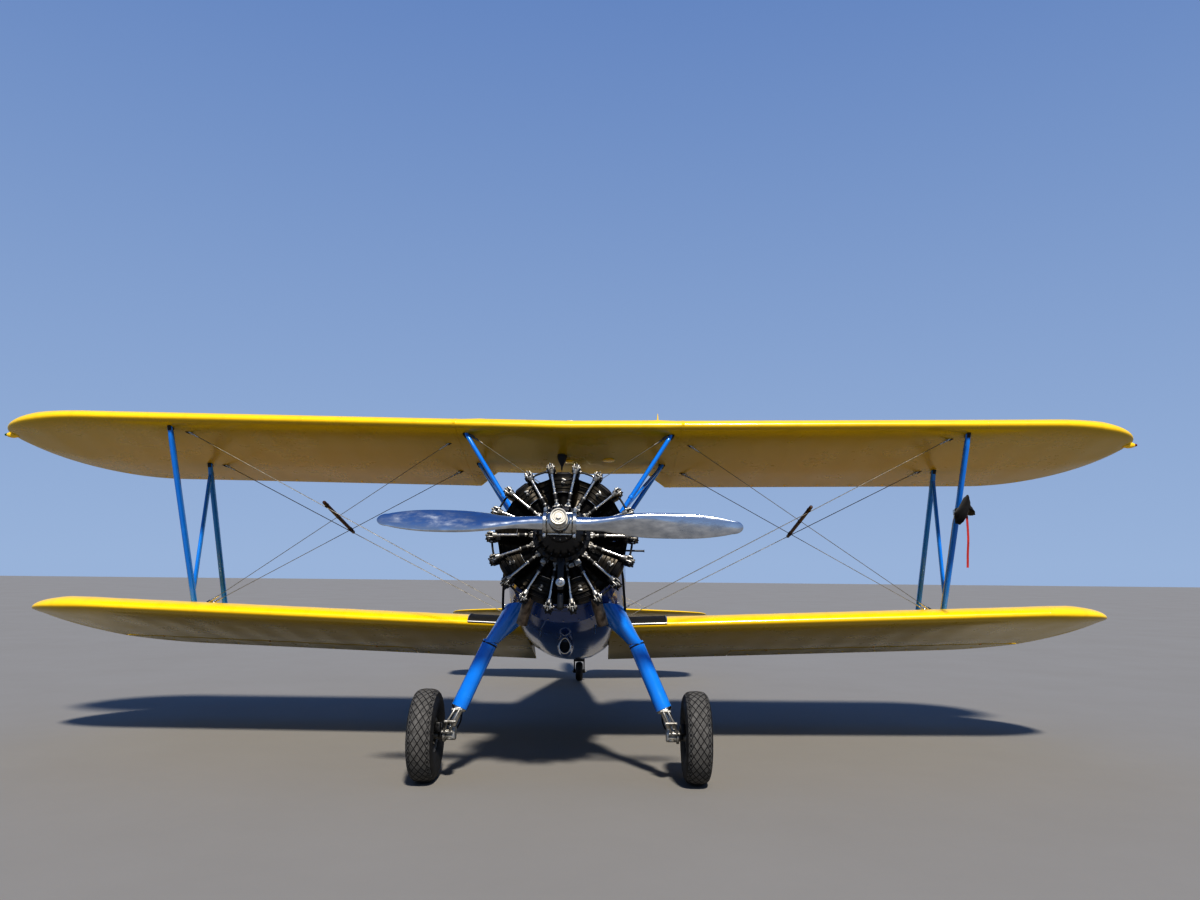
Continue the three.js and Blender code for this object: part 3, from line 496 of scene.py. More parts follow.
def panel_enamel(name, shade_hex, worn_hex, seams, wave):
    """Sprayed aluminium sheet: deep glossy enamel, a little wavy, with fine seams between the panels."""
    made, tree, shader = material(name, Coat_Weight=0.8, Coat_Roughness=0.05)
    spot = level_spot(tree)
    dust = add(tree, "TexNoise", {"Vector": spot, "Scale": 3.0, "Detail": 6.0,
                                  "Roughness": 0.7}).outputs["Fac"]
    drift = add(tree, "MapRange", {"Value": dust, "From Min": 0.4, "From Max": 0.8}).outputs["Result"]
    colour = add(tree, "Mix", {0: drift, 6: rgb(shade_hex), 7: rgb(worn_hex)}, data_type="RGBA").outputs[2]
    gloss = add(tree, "MapRange", {"Value": dust, "From Min": 0.3, "From Max": 0.8,
                                   "To Min": 0.16, "To Max": 0.34})
    tree.links.new(gloss.outputs["Result"], shader.inputs["Roughness"])
    waves = add(tree, "TexNoise", {"Vector": spot, "Scale": wave, "Detail": 1.0}).outputs["Fac"]
    bump = add(tree, "Bump", {"Height": waves, "Strength": 0.35, "Distance": 0.004}).outputs["Normal"]
    aft = add(tree, "SeparateXYZ", {"Vector": spot}).outputs["Y"]
    for station in seams:
        off = add(tree, "Math", {0: aft, 1: station}, operation="SUBTRACT").outputs["Value"]
        near = add(tree, "Math", {0: off}, operation="ABSOLUTE").outputs["Value"]
        clear = add(tree, "MapRange", {"Value": near, "From Min": 0.0008,
                                       "From Max": 0.0025}).outputs["Result"]
        colour = add(tree, "Mix", {0: clear, 6: rgb("#05080e"), 7: colour}, data_type="RGBA").outputs[2]
        bump = add(tree, "Bump", {"Height": clear, "Strength": 1.0, "Distance": 0.0015,
                                  "Normal": bump}).outputs["Normal"]
    tree.links.new(colour, shader.inputs["Base Color"])
    tree.links.new(bump, shader.inputs["Normal"])
    return made


# Blue enamel on the fuselage's sheet and fabric: the struts' own blue deepened to navy as painted shade, with
# fine dark seams between the panels
painted_shade_navy_enamel = panel_enamel("painted_shade_navy_enamel_on_aluminium_sheet", "#0b356f", "#11427e", [0.83, 1.2, 1.62], 6.0)
# Azure enamel on steel tube: a bright even blue with faint runs
azure_enamel = surface("azure_enamel_on_steel_tube", ("#0a76cc", "#1480d4"), (0.16, 0.3), 220, 6, 0.05,
                       Coat_Weight=0.7, Coat_Roughness=0.06)
# Polished forged aluminium: mirror bright, clouded by fine scuffs and dead insects
blade_metal = surface("polished_forged_aluminium", ("#dfe3e8", "#acb2ba"), (0.07, 0.28), 38, 9, 0.05,
                      (0.4, 1, 1), Metallic=1.0)
# Polished steel forging: bright, with darker hand marks
hub_metal = surface("polished_steel_forging", ("#cfcfcc", "#a9a8a3"), (0.14, 0.32), 30, 3, 0.04,
                    Metallic=1.0)
# Cadmium-plated steel: a pale warm grey, softly bright
cadmium_steel = surface("cadmium_plated_steel", ("#d6d2c6", "#b3ada0"), (0.38, 0.55), 16, 2, 0.03,
                        Metallic=0.55)
# Nickel-plated steel: a warm glint, dulled by oil in places
bright_steel = surface("nickel_plated_steel", ("#d6d4cf", "#a8a49b"), (0.12, 0.34), 14, 2, 0.03,
                       Metallic=1.0)
# Sand-cast aluminium: pale grey and matt, with oil in the low places
cast_alloy = surface("sand_cast_aluminium", ("#b7b6b1", "#6f6a60"), (0.32, 0.6), 25, 1.6, 0.25,
                     Metallic=0.85)
# Black stoving enamel on iron fins: it browns with heat and holds dust
fin_iron = surface("black_enamelled_cast_iron", ("#121110", "#2b241c"), (0.3, 0.6), 45, 2.5, 0.2)
# Black enamel on the crankcase: near black with a soft shine
case_enamel = surface("black_enamelled_crankcase", ("#0f1013", "#1b1a1a"), (0.2, 0.45), 60, 3, 0.15,
                      Coat_Weight=0.3, Coat_Roughness=0.2)
# Aluminium baffle browned by oil: dull metal with darker drips
head_plate = surface("oil_browned_aluminium_baffle", ("#3a3429", "#16140f"), (0.28, 0.5), 32, 2.5, 0.25,
                     Metallic=0.6)
# Moulded rubber hose: dull black
black_rubber = surface("black_rubber_hose", ("#0b0b0b", "#1a1918"), (0.45, 0.7), 20, 1.5, 0.1)
# Enamelled steel fittings: black with a low shine
black_steel = surface("black_enamelled_steel", ("#0c0c0d", "#1c1b1a"), (0.3, 0.5), 30, 2, 0.1)
# Stainless tanned by heat: straw and brown tints
exhaust_steel = surface("heat_tanned_stainless_steel", ("#94887a", "#4d423a"), (0.32, 0.58), 60, 4, 0.1,
                        (1, 2.5, 1), Metallic=0.9)
# Drawn stainless dulled by weather: thin grey lines in the sun
stainless_wire = surface("streamlined_stainless_wire", ("#8a8780", "#65625b"), (0.42, 0.6), 40, 3, 0.02,
                         Metallic=0.8)
# Tyre rubber: black and faintly shiny on the shoulders
tyre_shoulder = surface("aircraft_tyre_rubber", ("#141413", "#242220"), (0.5, 0.75), 60, 2, 0.2)
# The tread blocks are scuffed grey with dust from the apron; the grooves between them stay black
tyre_block = surface("dusty_tyre_tread", ("#62605c", "#474643"), (0.75, 0.95), 35, 1.5, 0.3)
# Cast magnesium: grey and slightly rough
wheel_alloy = surface("cast_magnesium_wheel", ("#8f9193", "#5b5a57"), (0.35, 0.6), 35, 2, 0.2, Metallic=0.7)
# Ground iron: fine concentric wear
brake_iron = surface("ground_iron_brake_disc", ("#8a8781", "#4d4a45"), (0.25, 0.45), 40, 1, 0.05,
                     Metallic=1.0)
# Varnished walnut: dark brown with streaks along the stick
walnut = surface("varnished_walnut", ("#4a2812", "#2a1509"), (0.3, 0.5), 12, 2, 0.1, (1, 0.12, 1))
# Canvas: matt black with a coarse weave
canvas = surface("black_canvas", ("#060607", "#111010"), (0.85, 0.95), 25, 1.2, 0.5, Sheen_Weight=0.08)
# Woven nylon: dull red, faded in patches
ribbon_cloth = surface("red_nylon_webbing", ("#b3261a", "#8e1c14"), (0.6, 0.8), 18, 1.2, 0.3,
                       Sheen_Weight=0.4)
# Woven nylon harness: faded olive with a fine herringbone
webbing = surface("olive_nylon_harness", ("#4b4a33", "#3a3927"), (0.65, 0.8), 18, 1.5, 0.3, (1, 3, 1),
                  Sheen_Weight=0.3)
# Leather roll: brown-black with a fine pebble grain
leather = surface("black_leather", ("#17120f", "#2b211b"), (0.4, 0.6), 30, 2.2, 0.5)
# Zinc chromate primer: flat olive green inside the cockpits
primer = surface("zinc_chromate_primer", ("#5f6b35", "#4d572c"), (0.5, 0.7), 80, 3, 0.1)
# Formed aluminium: dull silver with rubbed places
seat_alloy = surface("formed_aluminium_seat", ("#a3a5a6", "#7c7d7c"), (0.35, 0.55), 50, 3, 0.05,
                     Metallic=0.9)
# Crackle paint: black with a fine rough skin
crackle = surface("black_crackle_paint", ("#0d0d0e", "#191919"), (0.5, 0.65), 20, 1.4, 0.5)
# Non-slip walkway: grit in flat black paint
walkway = surface("black_non_slip_walkway", ("#0e0e0e", "#1b1a19"), (0.6, 0.8), 60, 1.2, 0.8)
# Anodised strip: satin silver
bright_strip = surface("anodised_aluminium_strip", ("#d4d3cf", "#aaa8a2"), (0.25, 0.4), 40, 2, 0.03,
                       Metallic=1.0)
# Painted marks: dull white
dial_white = surface("white_dial_marks", ("#e8e6da", "#d9d6c8"), (0.5, 0.6), 10, 1, 0.02)
# Cast lamp glass, ruby on the left and emerald on the right
ruby_glass = surface("ruby_lamp_glass", ("#8a0c10", "#6d080c"), (0.05, 0.1), 30, 5, 0.02,
                     Transmission_Weight=0.4, IOR=1.5)
emerald_glass = surface("emerald_lamp_glass", ("#0a6a3a", "#07552d"), (0.05, 0.1), 30, 5, 0.02,
                        Transmission_Weight=0.4, IOR=1.5)
# Acrylic sheet: clear, with faint wiping marks
acrylic = surface("clear_acrylic_sheet", ("#f4f8f9", "#eaf0f1"), (0.02, 0.07), 60, 8, 0.01,
                  Transmission_Weight=1.0, IOR=1.49)

# Wings. The section is [share of chord aft, upper, lower] from the leading edge, as in the solids
CHORD = 1.524
upper_wing = {"y": 1.044, "z": 1.091, "incidence": radians(3.93), "dihedral": radians(0.79),
              "half": 4.89, "tip": 0.3, "leading": 4.05, "trailing": 3.85, "rise": 0.058}
lower_wing = {"y": 1.757, "z": -0.466, "incidence": radians(3.04), "dihedral": radians(2.08),
              "half": 4.75, "tip": 0.22, "leading": 4, "trailing": 3.7, "rise": 0}
wing_section = [[0, 0, 0], [0.0125, 0.02, -0.016], [0.05, 0.044, -0.027], [0.12, 0.066, -0.034],
                [0.25, 0.082, -0.036], [0.4, 0.079, -0.035], [0.6, 0.056, -0.034], [0.8, 0.02, -0.033],
                [1, -0.03, -0.036]]
# The same against the root of the share aft, which keeps the nose round between the rows
rooted_section = [[math.sqrt(aft), upper, lower] for aft, upper, lower in wing_section]
face_steps = [0.5 - 0.5 * cos(a) for a in even(0, pi, 26)]
UPPER, LOWER = 1, 2


def wing_place(wing, x, aft, lift=0.0):
    """A point at a sideways place and a distance aft, raised from the chord line."""
    return Vector((x, wing["y"] + aft, wing["z"] - aft * tan(wing["incidence"])
                   + abs(x) * tan(wing["dihedral"]) + lift))


def edges_at(wing, x):
    """The leading and trailing edge at a sideways place, as distances aft of the root leading edge."""
    def rounding(start):
        t = min(1, max(0, (abs(x) - start) / (wing["half"] - start)))
        return 1 - math.sqrt(1 - t * t)
    tip = wing["tip"] * CHORD
    return tip * rounding(wing["leading"]), CHORD - (CHORD - tip) * rounding(wing["trailing"])


# The centre section is cut out behind, over the front cockpit
centre_half = 0.95
cut_out = {"trailing": 0.9, "inner": 0.7, "depth": 0.38}


def centre_edges(x):
    into = min(1, max(0, (cut_out["trailing"] - abs(x)) / (cut_out["trailing"] - cut_out["inner"])))
    return 0, CHORD - cut_out["depth"] * into


def face_lift(wing, share, face, chord):
    """How far a face stands from the chord line; the upper wing lifts again behind."""
    rise = wing["rise"] / CHORD * max(0, (share - 0.6) / 0.4) ** 1.5
    return (along(rooted_section, math.sqrt(share))[face] + rise) * min(CHORD, chord * 1.25)


def on_wing(wing, x, aft, face, off=0.0):
    """A point on a wing's upper or lower face, or off it."""
    leading, trailing = centre_edges(x) if wing is upper_wing and abs(x) < centre_half else edges_at(wing, x)
    chord = max(1e-4, trailing - leading)
    share = min(1, max(0, (aft - leading) / chord))
    return wing_place(wing, x, aft, face_lift(wing, share, face, chord) + (off if face == UPPER else -off))


def sag(x, share):
    """How far the cloth sinks between two ribs, behind the hard leading edge."""
    inside = min(1, (share - 0.1) / 0.05, (0.985 - share) / 0.05)
    return 0.0028 * sin(pi * abs(x) / RIB_PITCH) ** 2 * max(0, inside)


def wing_ring(wing, x, edges=None):
    """The points round a wing at a sideways place, from the upper trailing edge over the nose and back."""
    leading, trailing = edges or edges_at(wing, x)
    chord = trailing - leading

    def point(share, face):
        drop = sag(x, share) * (-1 if face == UPPER else 1)
        lift = face_lift(wing, share, face, chord) + drop if share else 0
        return wing_place(wing, x, leading + share * chord, lift if chord > 1e-5 else 0)
    over, under = ([point(share, face) for share in face_steps] for face in (UPPER, LOWER))
    return over[::-1] + under[1:]


def wing_stations(wing, start):
    """Stations from the root to the tip: even over the ribs, then closer and closer round the tip."""
    curve = min(wing["leading"], wing["trailing"])
    inner = even(start, curve, math.ceil((curve - start) / RIB_PITCH * 6))
    return inner[:-1] + [curve + (wing["half"] - curve) * sin(a) for a in even(0, pi / 2, 26)]


bm = blank()
skin(bm, [wing_ring(upper_wing, x) for x in wing_stations(upper_wing, centre_half)])
pair("upper_wing_cloth_*", bm, wing_cloth, "wing_fabric", replaces="upper_wing_*", crease=50)
bm = blank()
skin(bm, [wing_ring(upper_wing, x, centre_edges(x)) for x in even(-centre_half, centre_half, 76)])
make("centre_section_skin", bm, wing_cloth, "wing_fabric", replaces="upper_centre_section", crease=50)

# Fuselage. Rows: [station, half width, top, bottom, widest height, roundness above, roundness below]
fuselage_rows = [
    [0.95, 0.425, 0.405, -0.54, -0.06, 2.1, 2.3],
    [1.2, 0.462, 0.432, -0.59, -0.06, 2.2, 2.5],
    [1.7, 0.495, 0.478, -0.622, -0.06, 2.3, 2.7],
    [2.65, 0.49, 0.5, -0.622, -0.04, 2.3, 2.7],
    [3.3, 0.455, 0.505, -0.59, -0.02, 2.2, 2.6],
    [3.64, 0.425, 0.56, -0.56, 0, 1.8, 2.6],
    [4.3, 0.345, 0.48, -0.47, 0.02, 1.8, 2.5],
    [5.1, 0.24, 0.385, -0.35, 0.04, 1.9, 2.4],
    [5.9, 0.135, 0.285, -0.225, 0.05, 2, 2.2],
    [6.5, 0.062, 0.205, -0.13, 0.05, 2, 2],
    [6.62, 0.036, 0.19, -0.112, 0.05, 2, 2],
]
HULL_POINTS, STRINGERS = 80, 20


def hull_ring(row, inset=0.0, cloth=0.0, floor=-9.0):
    """The points round a fuselage section; cloth sinks between its stringers, and a floor cuts it flat."""
    y, half, top, bottom, widest, above, below = row
    ring = []
    for k, (across, up) in enumerate(circle(HULL_POINTS, 1)):
        power = 2 / (above if up >= 0 else below)
        height = (top - widest if up >= 0 else widest - bottom) - inset
        tight = 1 - cloth * sin(pi * k * STRINGERS / HULL_POINTS) ** 2
        ring.append(Vector((bent(across, power) * (half - inset) * tight, y,
                            max(floor, widest + bent(up, power) * height * tight))))
    return ring


def deck(x, y, off=0.0):
    """A point on the upper half of the fuselage above a place in plan."""
    _, half, top, _, widest, above, _ = along(fuselage_rows, y)
    return Vector((x, y, widest + (top - widest) * max(0, 1 - abs(x / half) ** above) ** (1 / above) + off))


def flank(z, y, off=0.0):
    """A point on the left side of the fuselage at a height and a station."""
    _, half, top, bottom, widest, above, below = along(fuselage_rows, y)
    height, power = (top - widest, above) if z >= widest else (widest - bottom, below)
    return Vector((half * max(0, 1 - abs((z - widest) / height) ** power) ** (1 / power) + off, y, z))


cockpits = {
    "front": {"hollow": (1.42, 2.57), "hole": (1.8, 2.45), "half": 0.285, "panel": 1.815, "seat": 2.26},
    "rear": {"hollow": (2.61, 3.6), "hole": (2.9, 3.56), "half": 0.275, "panel": 2.912, "seat": 3.34},
}
WALL, FLOOR = 0.032, -0.43


def hole_outline(cockpit, grow=0.0, count=56):
    """The outline of a cockpit's hole in plan, an oval with flattened sides."""
    front, back = cockpit["hole"]
    middle, long = (front + back) / 2, (back - front) / 2 + grow
    return [(bent(across, 0.7) * (cockpit["half"] + grow), middle + bent(fore, 0.7) * long)
            for across, fore in circle(count, 1)]


bm = blank()
skin(bm, [hull_ring(along(fuselage_rows, y), cloth=0 if y < 1.25 else 0.006) for y in even(0.95, 6.62, 96)])
fuselage = make("fuselage_skin", bm, painted_shade_navy_enamel, "fuselage_fabric", crease=50,
                replaces="fuselage_forward fuselage_aft")
for cockpit in cockpits.values():
    room, opening = blank(), blank()
    skin(room, [hull_ring(along(fuselage_rows, y), WALL, floor=FLOOR) for y in even(*cockpit["hollow"], 16)])
    skin(opening, [[Vector((x, y, z)) for x, y in hole_outline(cockpit)] for z in (0.25, 0.9)])
    carve(fuselage, room, primer)
    carve(fuselage, opening)

# Lower wings, cut for the aileron bays and round the cockpit floor
AILERON_IN, AILERON_OUT, AILERON_HINGE, AILERON_NOSE, AILERON_GAP = 1.55, 4.35, 0.825 * CHORD, 0.036, 0.008


def hinge_line(x):
    return wing_place(lower_wing, x, AILERON_HINGE, -0.008)


bm, bay, core = blank(), blank(), blank()
skin(bm, [wing_ring(lower_wing, x) for x in wing_stations(lower_wing, 0.36)])
inner, outer = AILERON_IN - AILERON_GAP, AILERON_OUT + AILERON_GAP
front = lower_wing["y"] + AILERON_HINGE - AILERON_NOSE - AILERON_GAP
cube(bay, (outer - inner, 1, 1.2), at(((inner + outer) / 2, front + 0.5, -0.4)))
skin(core, [hull_ring(along(fuselage_rows, y), 0.02) for y in even(1.6, 3.5, 19)])
pair("lower_wing_cloth_*", bm, wing_cloth, "wing_fabric", replaces="lower_wing_*", crease=50,
     cutters=(bay, core))

# Ailerons: the wing's own section behind a round nose about the hinge
rings = []
for x in even(AILERON_IN, AILERON_OUT, 60):
    leading, trailing = edges_at(lower_wing, x)
    chord = trailing - leading
    start = (AILERON_HINGE - leading) / chord
    high, low = (face_lift(lower_wing, start, face, chord) for face in (UPPER, LOWER))
    middle, half = (high + low) / 2, (high - low) / 2
    reach = min(AILERON_NOSE, half)

    def flap_point(t, face, sink):
        share = start + t * (1 - start)
        return wing_place(lower_wing, x, AILERON_HINGE + t * (trailing - AILERON_HINGE),
                          face_lift(lower_wing, share, face, chord) + sink * sag(x, share))
    nose = [wing_place(lower_wing, x, AILERON_HINGE - reach * sin(a), middle + half * cos(a))
            for a in even(0, pi, 10)[1:-1]]
    rings.append([flap_point(t, UPPER, -0.8) for t in even(1, 0, 14)] + nose
                 + [flap_point(t, LOWER, 0.8) for t in even(0, 1, 14)])
bm, slots, lugs = blank(), blank(), blank()
skin(bm, rings)
for x in (1.9, 2.95, 4):
    rod(slots, hinge_line(x - 0.0125), hinge_line(x + 0.0125), 0.046, sides=24)
    rod(lugs, hinge_line(x - 0.011), hinge_line(x + 0.011), 0.014, sides=16)
    block(lugs, (0.008, 0.075, 0.012), hinge_line(x) - Vector((0, 0.034, 0)), 0.002)
pair("aileron_cloth_*", bm, wing_cloth, "wing_fabric", "aileron_*", "aileron_*", cutters=(slots,), crease=50)
pair("aileron_hinge_lugs_*", lugs, bright_steel, "wire_steel")

# Walkway of grit paint on each lower wing root, edged with a bright strip
bm, trim = blank(), blank()
walk_aft = [1.18 * share ** 1.6 for share in even(0, 1, 30)]
walk_across = even(0.4, 0.845, 16)
skin(bm, [[on_wing(lower_wing, x, aft, UPPER, 0.0035) for aft in walk_aft]
          + [on_wing(lower_wing, x, aft, UPPER, -0.004) for aft in reversed(walk_aft)] for x in walk_across])
make("wing_walkways", bm, walkway, "wing_fabric", twin=True)
sweep(trim, [on_wing(lower_wing, walk_across[-1], aft, UPPER, 0.003) for aft in walk_aft], 0.009, 8, flat=0.4)
sweep(trim, [on_wing(lower_wing, x, 0.0005, UPPER, 0.002) for x in walk_across], 0.007, 8)
make("walkway_edge_strips", trim, bright_strip, "wing_fabric", twin=True)

# Engine: black crankcase with its nose, ringed by bright nuts
CYLINDERS, ROD_SPREAD = 9, 10.5
CYLINDER_Y, TAPPET_Y = 0.46, 0.34


def per_cylinder(name, bm, finish, slot="engine_alloy", leaned=False, replaces=""):
    """A piece repeated at every cylinder; a leaned one stands twice, in line with both push rods."""
    if leaned:
        upright, bm = bm, blank()
        for lean in (-ROD_SPREAD, ROD_SPREAD):
            join(bm, upright.copy(), spun(lean, "Y"))
        upright.free()
    around(bm, CYLINDERS)
    make(name, bm, finish, slot, replaces=replaces)


def hoop(reach, y):
    """A ring of points about the propeller's axis."""
    return [Vector((x, y, z)) for z, x in circle(72, reach)]


bm, ribs = blank(), blank()
turn(bm, [(0, 0.118), (0.062, 0.118), (0.074, 0.121), (0.086, 0.126), (0.094, 0.13), (0.098, 0.165),
          (0.112, 0.18), (0.14, 0.198), (0.16, 0.22), (0.17, 0.28), (0.178, 0.3), (0.2, 0.308),
          (0.205, 0.314), (0.205, 0.56), (0.196, 0.575), (0.176, 0.6), (0.175, 0.7047), (0, 0.7047)],
     AFT, 72)
block(ribs, (0.012, 0.12, 0.016), at((0, 0.245, 0.166)) @ spun(-14))
rod(ribs, (0, 0.3, 0.186), (0, 0.319, 0.186), 0.014)
around(ribs, 18)
join(bm, ribs)
make("engine_crankcase", bm, case_enamel, "engine_iron", replaces="engine_power_section")
bm, inner_nuts = blank(), blank()
rod(bm, (0, 0.3192, 0.186), (0, 0.3225, 0.186), 0.0125)
nut(bm, (0, 0.322, 0.186), (0, 0.331, 0.186), 0.0085)
rod(bm, (0, 0.33, 0.186), (0, 0.338, 0.186), 0.004, 0.0035, 8)
around(bm, 18)
nut(inner_nuts, (0, 0.118, 0.083), (0, 0.129, 0.083), 0.0075)
rod(inner_nuts, (0, 0.11, 0.083), (0, 0.121, 0.083), 0.0035, sides=8)
around(inner_nuts, 12)
join(bm, inner_nuts)
make("crankcase_nuts", bm, bright_steel, "engine_iron")


# Cylinders: turned barrels with close fins under square-finned heads
def square_ring(half_x, half_y, height):
    """A rounded square about a cylinder's own axis."""
    return [Vector((bent(across, 2 / 4.5) * half_x, CYLINDER_Y + bent(fore, 2 / 4.5) * half_y, height))
            for across, fore in circle(32, 1)]


bm, flange_nuts = blank(), blank()
barrel = [(0, 0.19), (0.08, 0.19), (0.08, 0.206), (0.064, 0.208)]
for low in even(0.212, 0.3344, 17):
    barrel += [(0.064, low), (0.079, low + 0.0008), (0.079, low + 0.0022), (0.064, low + 0.003)]
turn(bm, barrel + [(0.066, 0.345), (0, 0.345)], at((0, CYLINDER_Y, 0)), 32)
for spot in circle(10, 0.073):
    nut(flange_nuts, (*spot, 0.204), (*spot, 0.214), 0.006)
join(bm, flange_nuts, at((0, CYLINDER_Y, 0)))
head = [square_ring(0.07, 0.072, 0.34), square_ring(0.072, 0.076, 0.346)]
for k in range(13):
    low = 0.349 + 0.0094 * k
    wide = 0.078 + 0.008 * sin(pi * min(1, (k + 2) / 9) / 2)
    head += [square_ring(0.066, 0.072, low), square_ring(wide, 0.092, low + 0.001),
             square_ring(wide, 0.092, low + 0.0034), square_ring(0.066, 0.072, low + 0.0044)]
head += [square_ring(0.062, 0.07, 0.474), square_ring(0.052, 0.06, 0.486), square_ring(0.03, 0.04, 0.492)]
skin(bm, head)
per_cylinder("finned_cylinders", bm, fin_iron, "engine_iron")

# Rocker boxes: black castings in pairs, each with a bright forked end in front
bm, forks = blank(), blank()
block(bm, (0.054, 0.13, 0.058), (0, 0.432, 0.508), 0.013, 3)
block(bm, (0.044, 0.092, 0.014), (0, 0.436, 0.54), 0.005)
block(bm, (0.05, 0.08, 0.06), (0, 0.446, 0.47), 0.01)
for y in (0.398, 0.474):
    for x in (-0.017, 0.017):
        nut(bm, (x, y, 0.541), (x, y, 0.551), 0.0055)
pin(bm, (0, 0.42, 0.512), 0.034, 0.015, 20)
per_cylinder("rocker_boxes", bm, black_steel, "engine_iron", leaned=True)
turn(forks, [(0, 0.462), (0.0165, 0.462), (0.0185, 0.466), (0.0185, 0.48), (0.021, 0.484), (0.021, 0.492),
             (0.014, 0.498), (0, 0.498)], at((0, TAPPET_Y, 0)), 20)
for x in (-0.0165, 0.0165):
    block(forks, (0.01, 0.046, 0.046), (x, 0.35, 0.512))
    nut(forks, (x * 1.25, 0.345, 0.516), (x * 1.75, 0.345, 0.516), 0.0095)
block(forks, (0.04, 0.022, 0.036), (0, 0.368, 0.51))
pin(forks, (0, 0.345, 0.516), 0.032, 0.0045)
rod(forks, (0, 0.345, 0.522), (0, 0.345, 0.548), 0.0045)
nut(forks, (0, 0.345, 0.534), (0, 0.345, 0.542), 0.0085)
per_cylinder("rocker_forks", forks, cast_alloy, leaned=True)

# Push rod tubes: polished, in black sleeves with bright collars, down to the tappet guides
tubes, sleeves, collars = blank(), blank(), blank()
rod_foot = at((0, TAPPET_Y, 0))
turn(tubes, [(0, 0.3), (0.0112, 0.3), (0.0112, 0.47), (0, 0.47)], rod_foot, 20)
turn(sleeves, [(0, 0.262), (0.0135, 0.262), (0.0148, 0.268), (0.0148, 0.298), (0.0135, 0.304), (0, 0.304)],
     rod_foot, 20)
turn(collars, [(0, 0.303), (0.0165, 0.303), (0.0172, 0.305), (0.0172, 0.313), (0.0155, 0.316), (0, 0.316)],
     rod_foot, 20)
turn(collars, [(0, 0.252), (0.0162, 0.252), (0.0162, 0.262), (0, 0.262)], rod_foot, 20)
turn(collars, [(0, 0.205), (0.0125, 0.205), (0.0125, 0.222), (0.0145, 0.224), (0.0145, 0.236),
               (0.0105, 0.238), (0.0105, 0.252), (0, 0.252)], rod_foot, 16)
nut(collars, (0, TAPPET_Y, 0.224), (0, TAPPET_Y, 0.236), 0.0185)
block(collars, (0.046, 0.012, 0.02), (0, TAPPET_Y - 0.004, 0.214), 0.003)
for x in (-0.017, 0.017):
    nut(collars, (x, TAPPET_Y - 0.016, 0.214), (x, TAPPET_Y - 0.008, 0.214), 0.006)
per_cylinder("push_rod_tubes", tubes, bright_steel, leaned=True, replaces="engine_nose")
per_cylinder("push_rod_sleeves", sleeves, black_rubber, leaned=True)
per_cylinder("tappet_guides_and_collars", collars, cast_alloy, leaned=True)


# Baffle in front of each cylinder head, with a bright rolled edge and the plug's small casting
def bowed(half, y, height, count, sink=0.0):
    """A row of points bowed forward in the middle, whose ends sink."""
    return [Vector((half * t, y - 0.01 * cos(pi / 2 * t), height - sink * t * t)) for t in even(-1, 1, count)]


def plate(bm, rows, thick):
    """A thin sheet with its front face on rows of points."""
    skin(bm, [row + [point + Vector((0, thick, 0)) for point in reversed(row)] for row in rows])


bm, edges, plugs = blank(), blank(), blank()
plate(bm, [bowed(half, 0.3625, height, 16, 0.006) for height, half in (
    (0.322, 0.04), (0.35, 0.05), (0.38, 0.059), (0.41, 0.067), (0.436, 0.071))], 0.004)
for level in (0.352, 0.384, 0.414):
    sweep(bm, bowed(0.05 + (level - 0.35) * 0.28, 0.3595, level, 12), 0.0035, 8)
sweep(edges, bowed(0.041, 0.3615, 0.321, 16), 0.0032, 8)
turn(plugs, [(0, 0), (0.013, 0), (0.013, 0.01), (0.009, 0.012), (0.009, 0.026), (0.006, 0.03), (0, 0.03)],
     at((0, 0.352, 0.392)) @ spun(90), 16)
nut(plugs, (0, 0.346, 0.392), (0, 0.336, 0.392), 0.0125)
block(plugs, (0.034, 0.014, 0.014), at((0.004, 0.346, 0.414)) @ Matrix.Rotation(0.4, 4, "Y"))
# Deflector sheet between each pair of heads, dished back between them
gap = blank()
plate(gap, [[Vector((half * t, back - 0.03 * abs(t) ** 3, height)) for t in even(-1, 1, 12)]
            for height, half, back in ((0.262, 0.016, 0.5), (0.3, 0.03, 0.512), (0.35, 0.046, 0.52),
                                       (0.4, 0.06, 0.524), (0.44, 0.073, 0.522), (0.462, 0.08, 0.512),
                                       (0.468, 0.082, 0.5))], 0.003)
for height in (0.33, 0.385, 0.432):
    half = 0.8 * height - 0.225
    sweep(gap, even(Vector((-half, 0.517, height)), Vector((half, 0.517, height)), 12), 0.004, 8)
join(bm, gap, spun(20, "Y"))
per_cylinder("cylinder_head_baffles", bm, head_plate, "engine_iron")
per_cylinder("baffle_rolled_edges", edges, bright_steel)
per_cylinder("spark_plugs", plugs, cast_alloy)

# Ignition harness: a ring behind the cylinders and a lead to each front plug, with a loose loop
bm, lead = blank(), blank()
sweep(bm, hoop(0.3, 0.612), 0.01, 10, closed=True)
for leads in ([(0.096, 0.612, 0.284), (0.104, 0.566, 0.33), (0.112, 0.5, 0.4), (0.108, 0.42, 0.44),
               (0.086, 0.348, 0.43), (0.05, 0.322, 0.408), (0.016, 0.322, 0.394), (0, 0.324, 0.392)],
              [(-0.096, 0.612, 0.284), (-0.11, 0.58, 0.35), (-0.112, 0.56, 0.42), (-0.09, 0.552, 0.462),
               (-0.04, 0.548, 0.47)]):
    sweep(lead, route(leads, 5), 0.0042, 8)
around(lead, CYLINDERS)
join(bm, lead)
make("ignition_harness", bm, black_rubber, "black_steel")

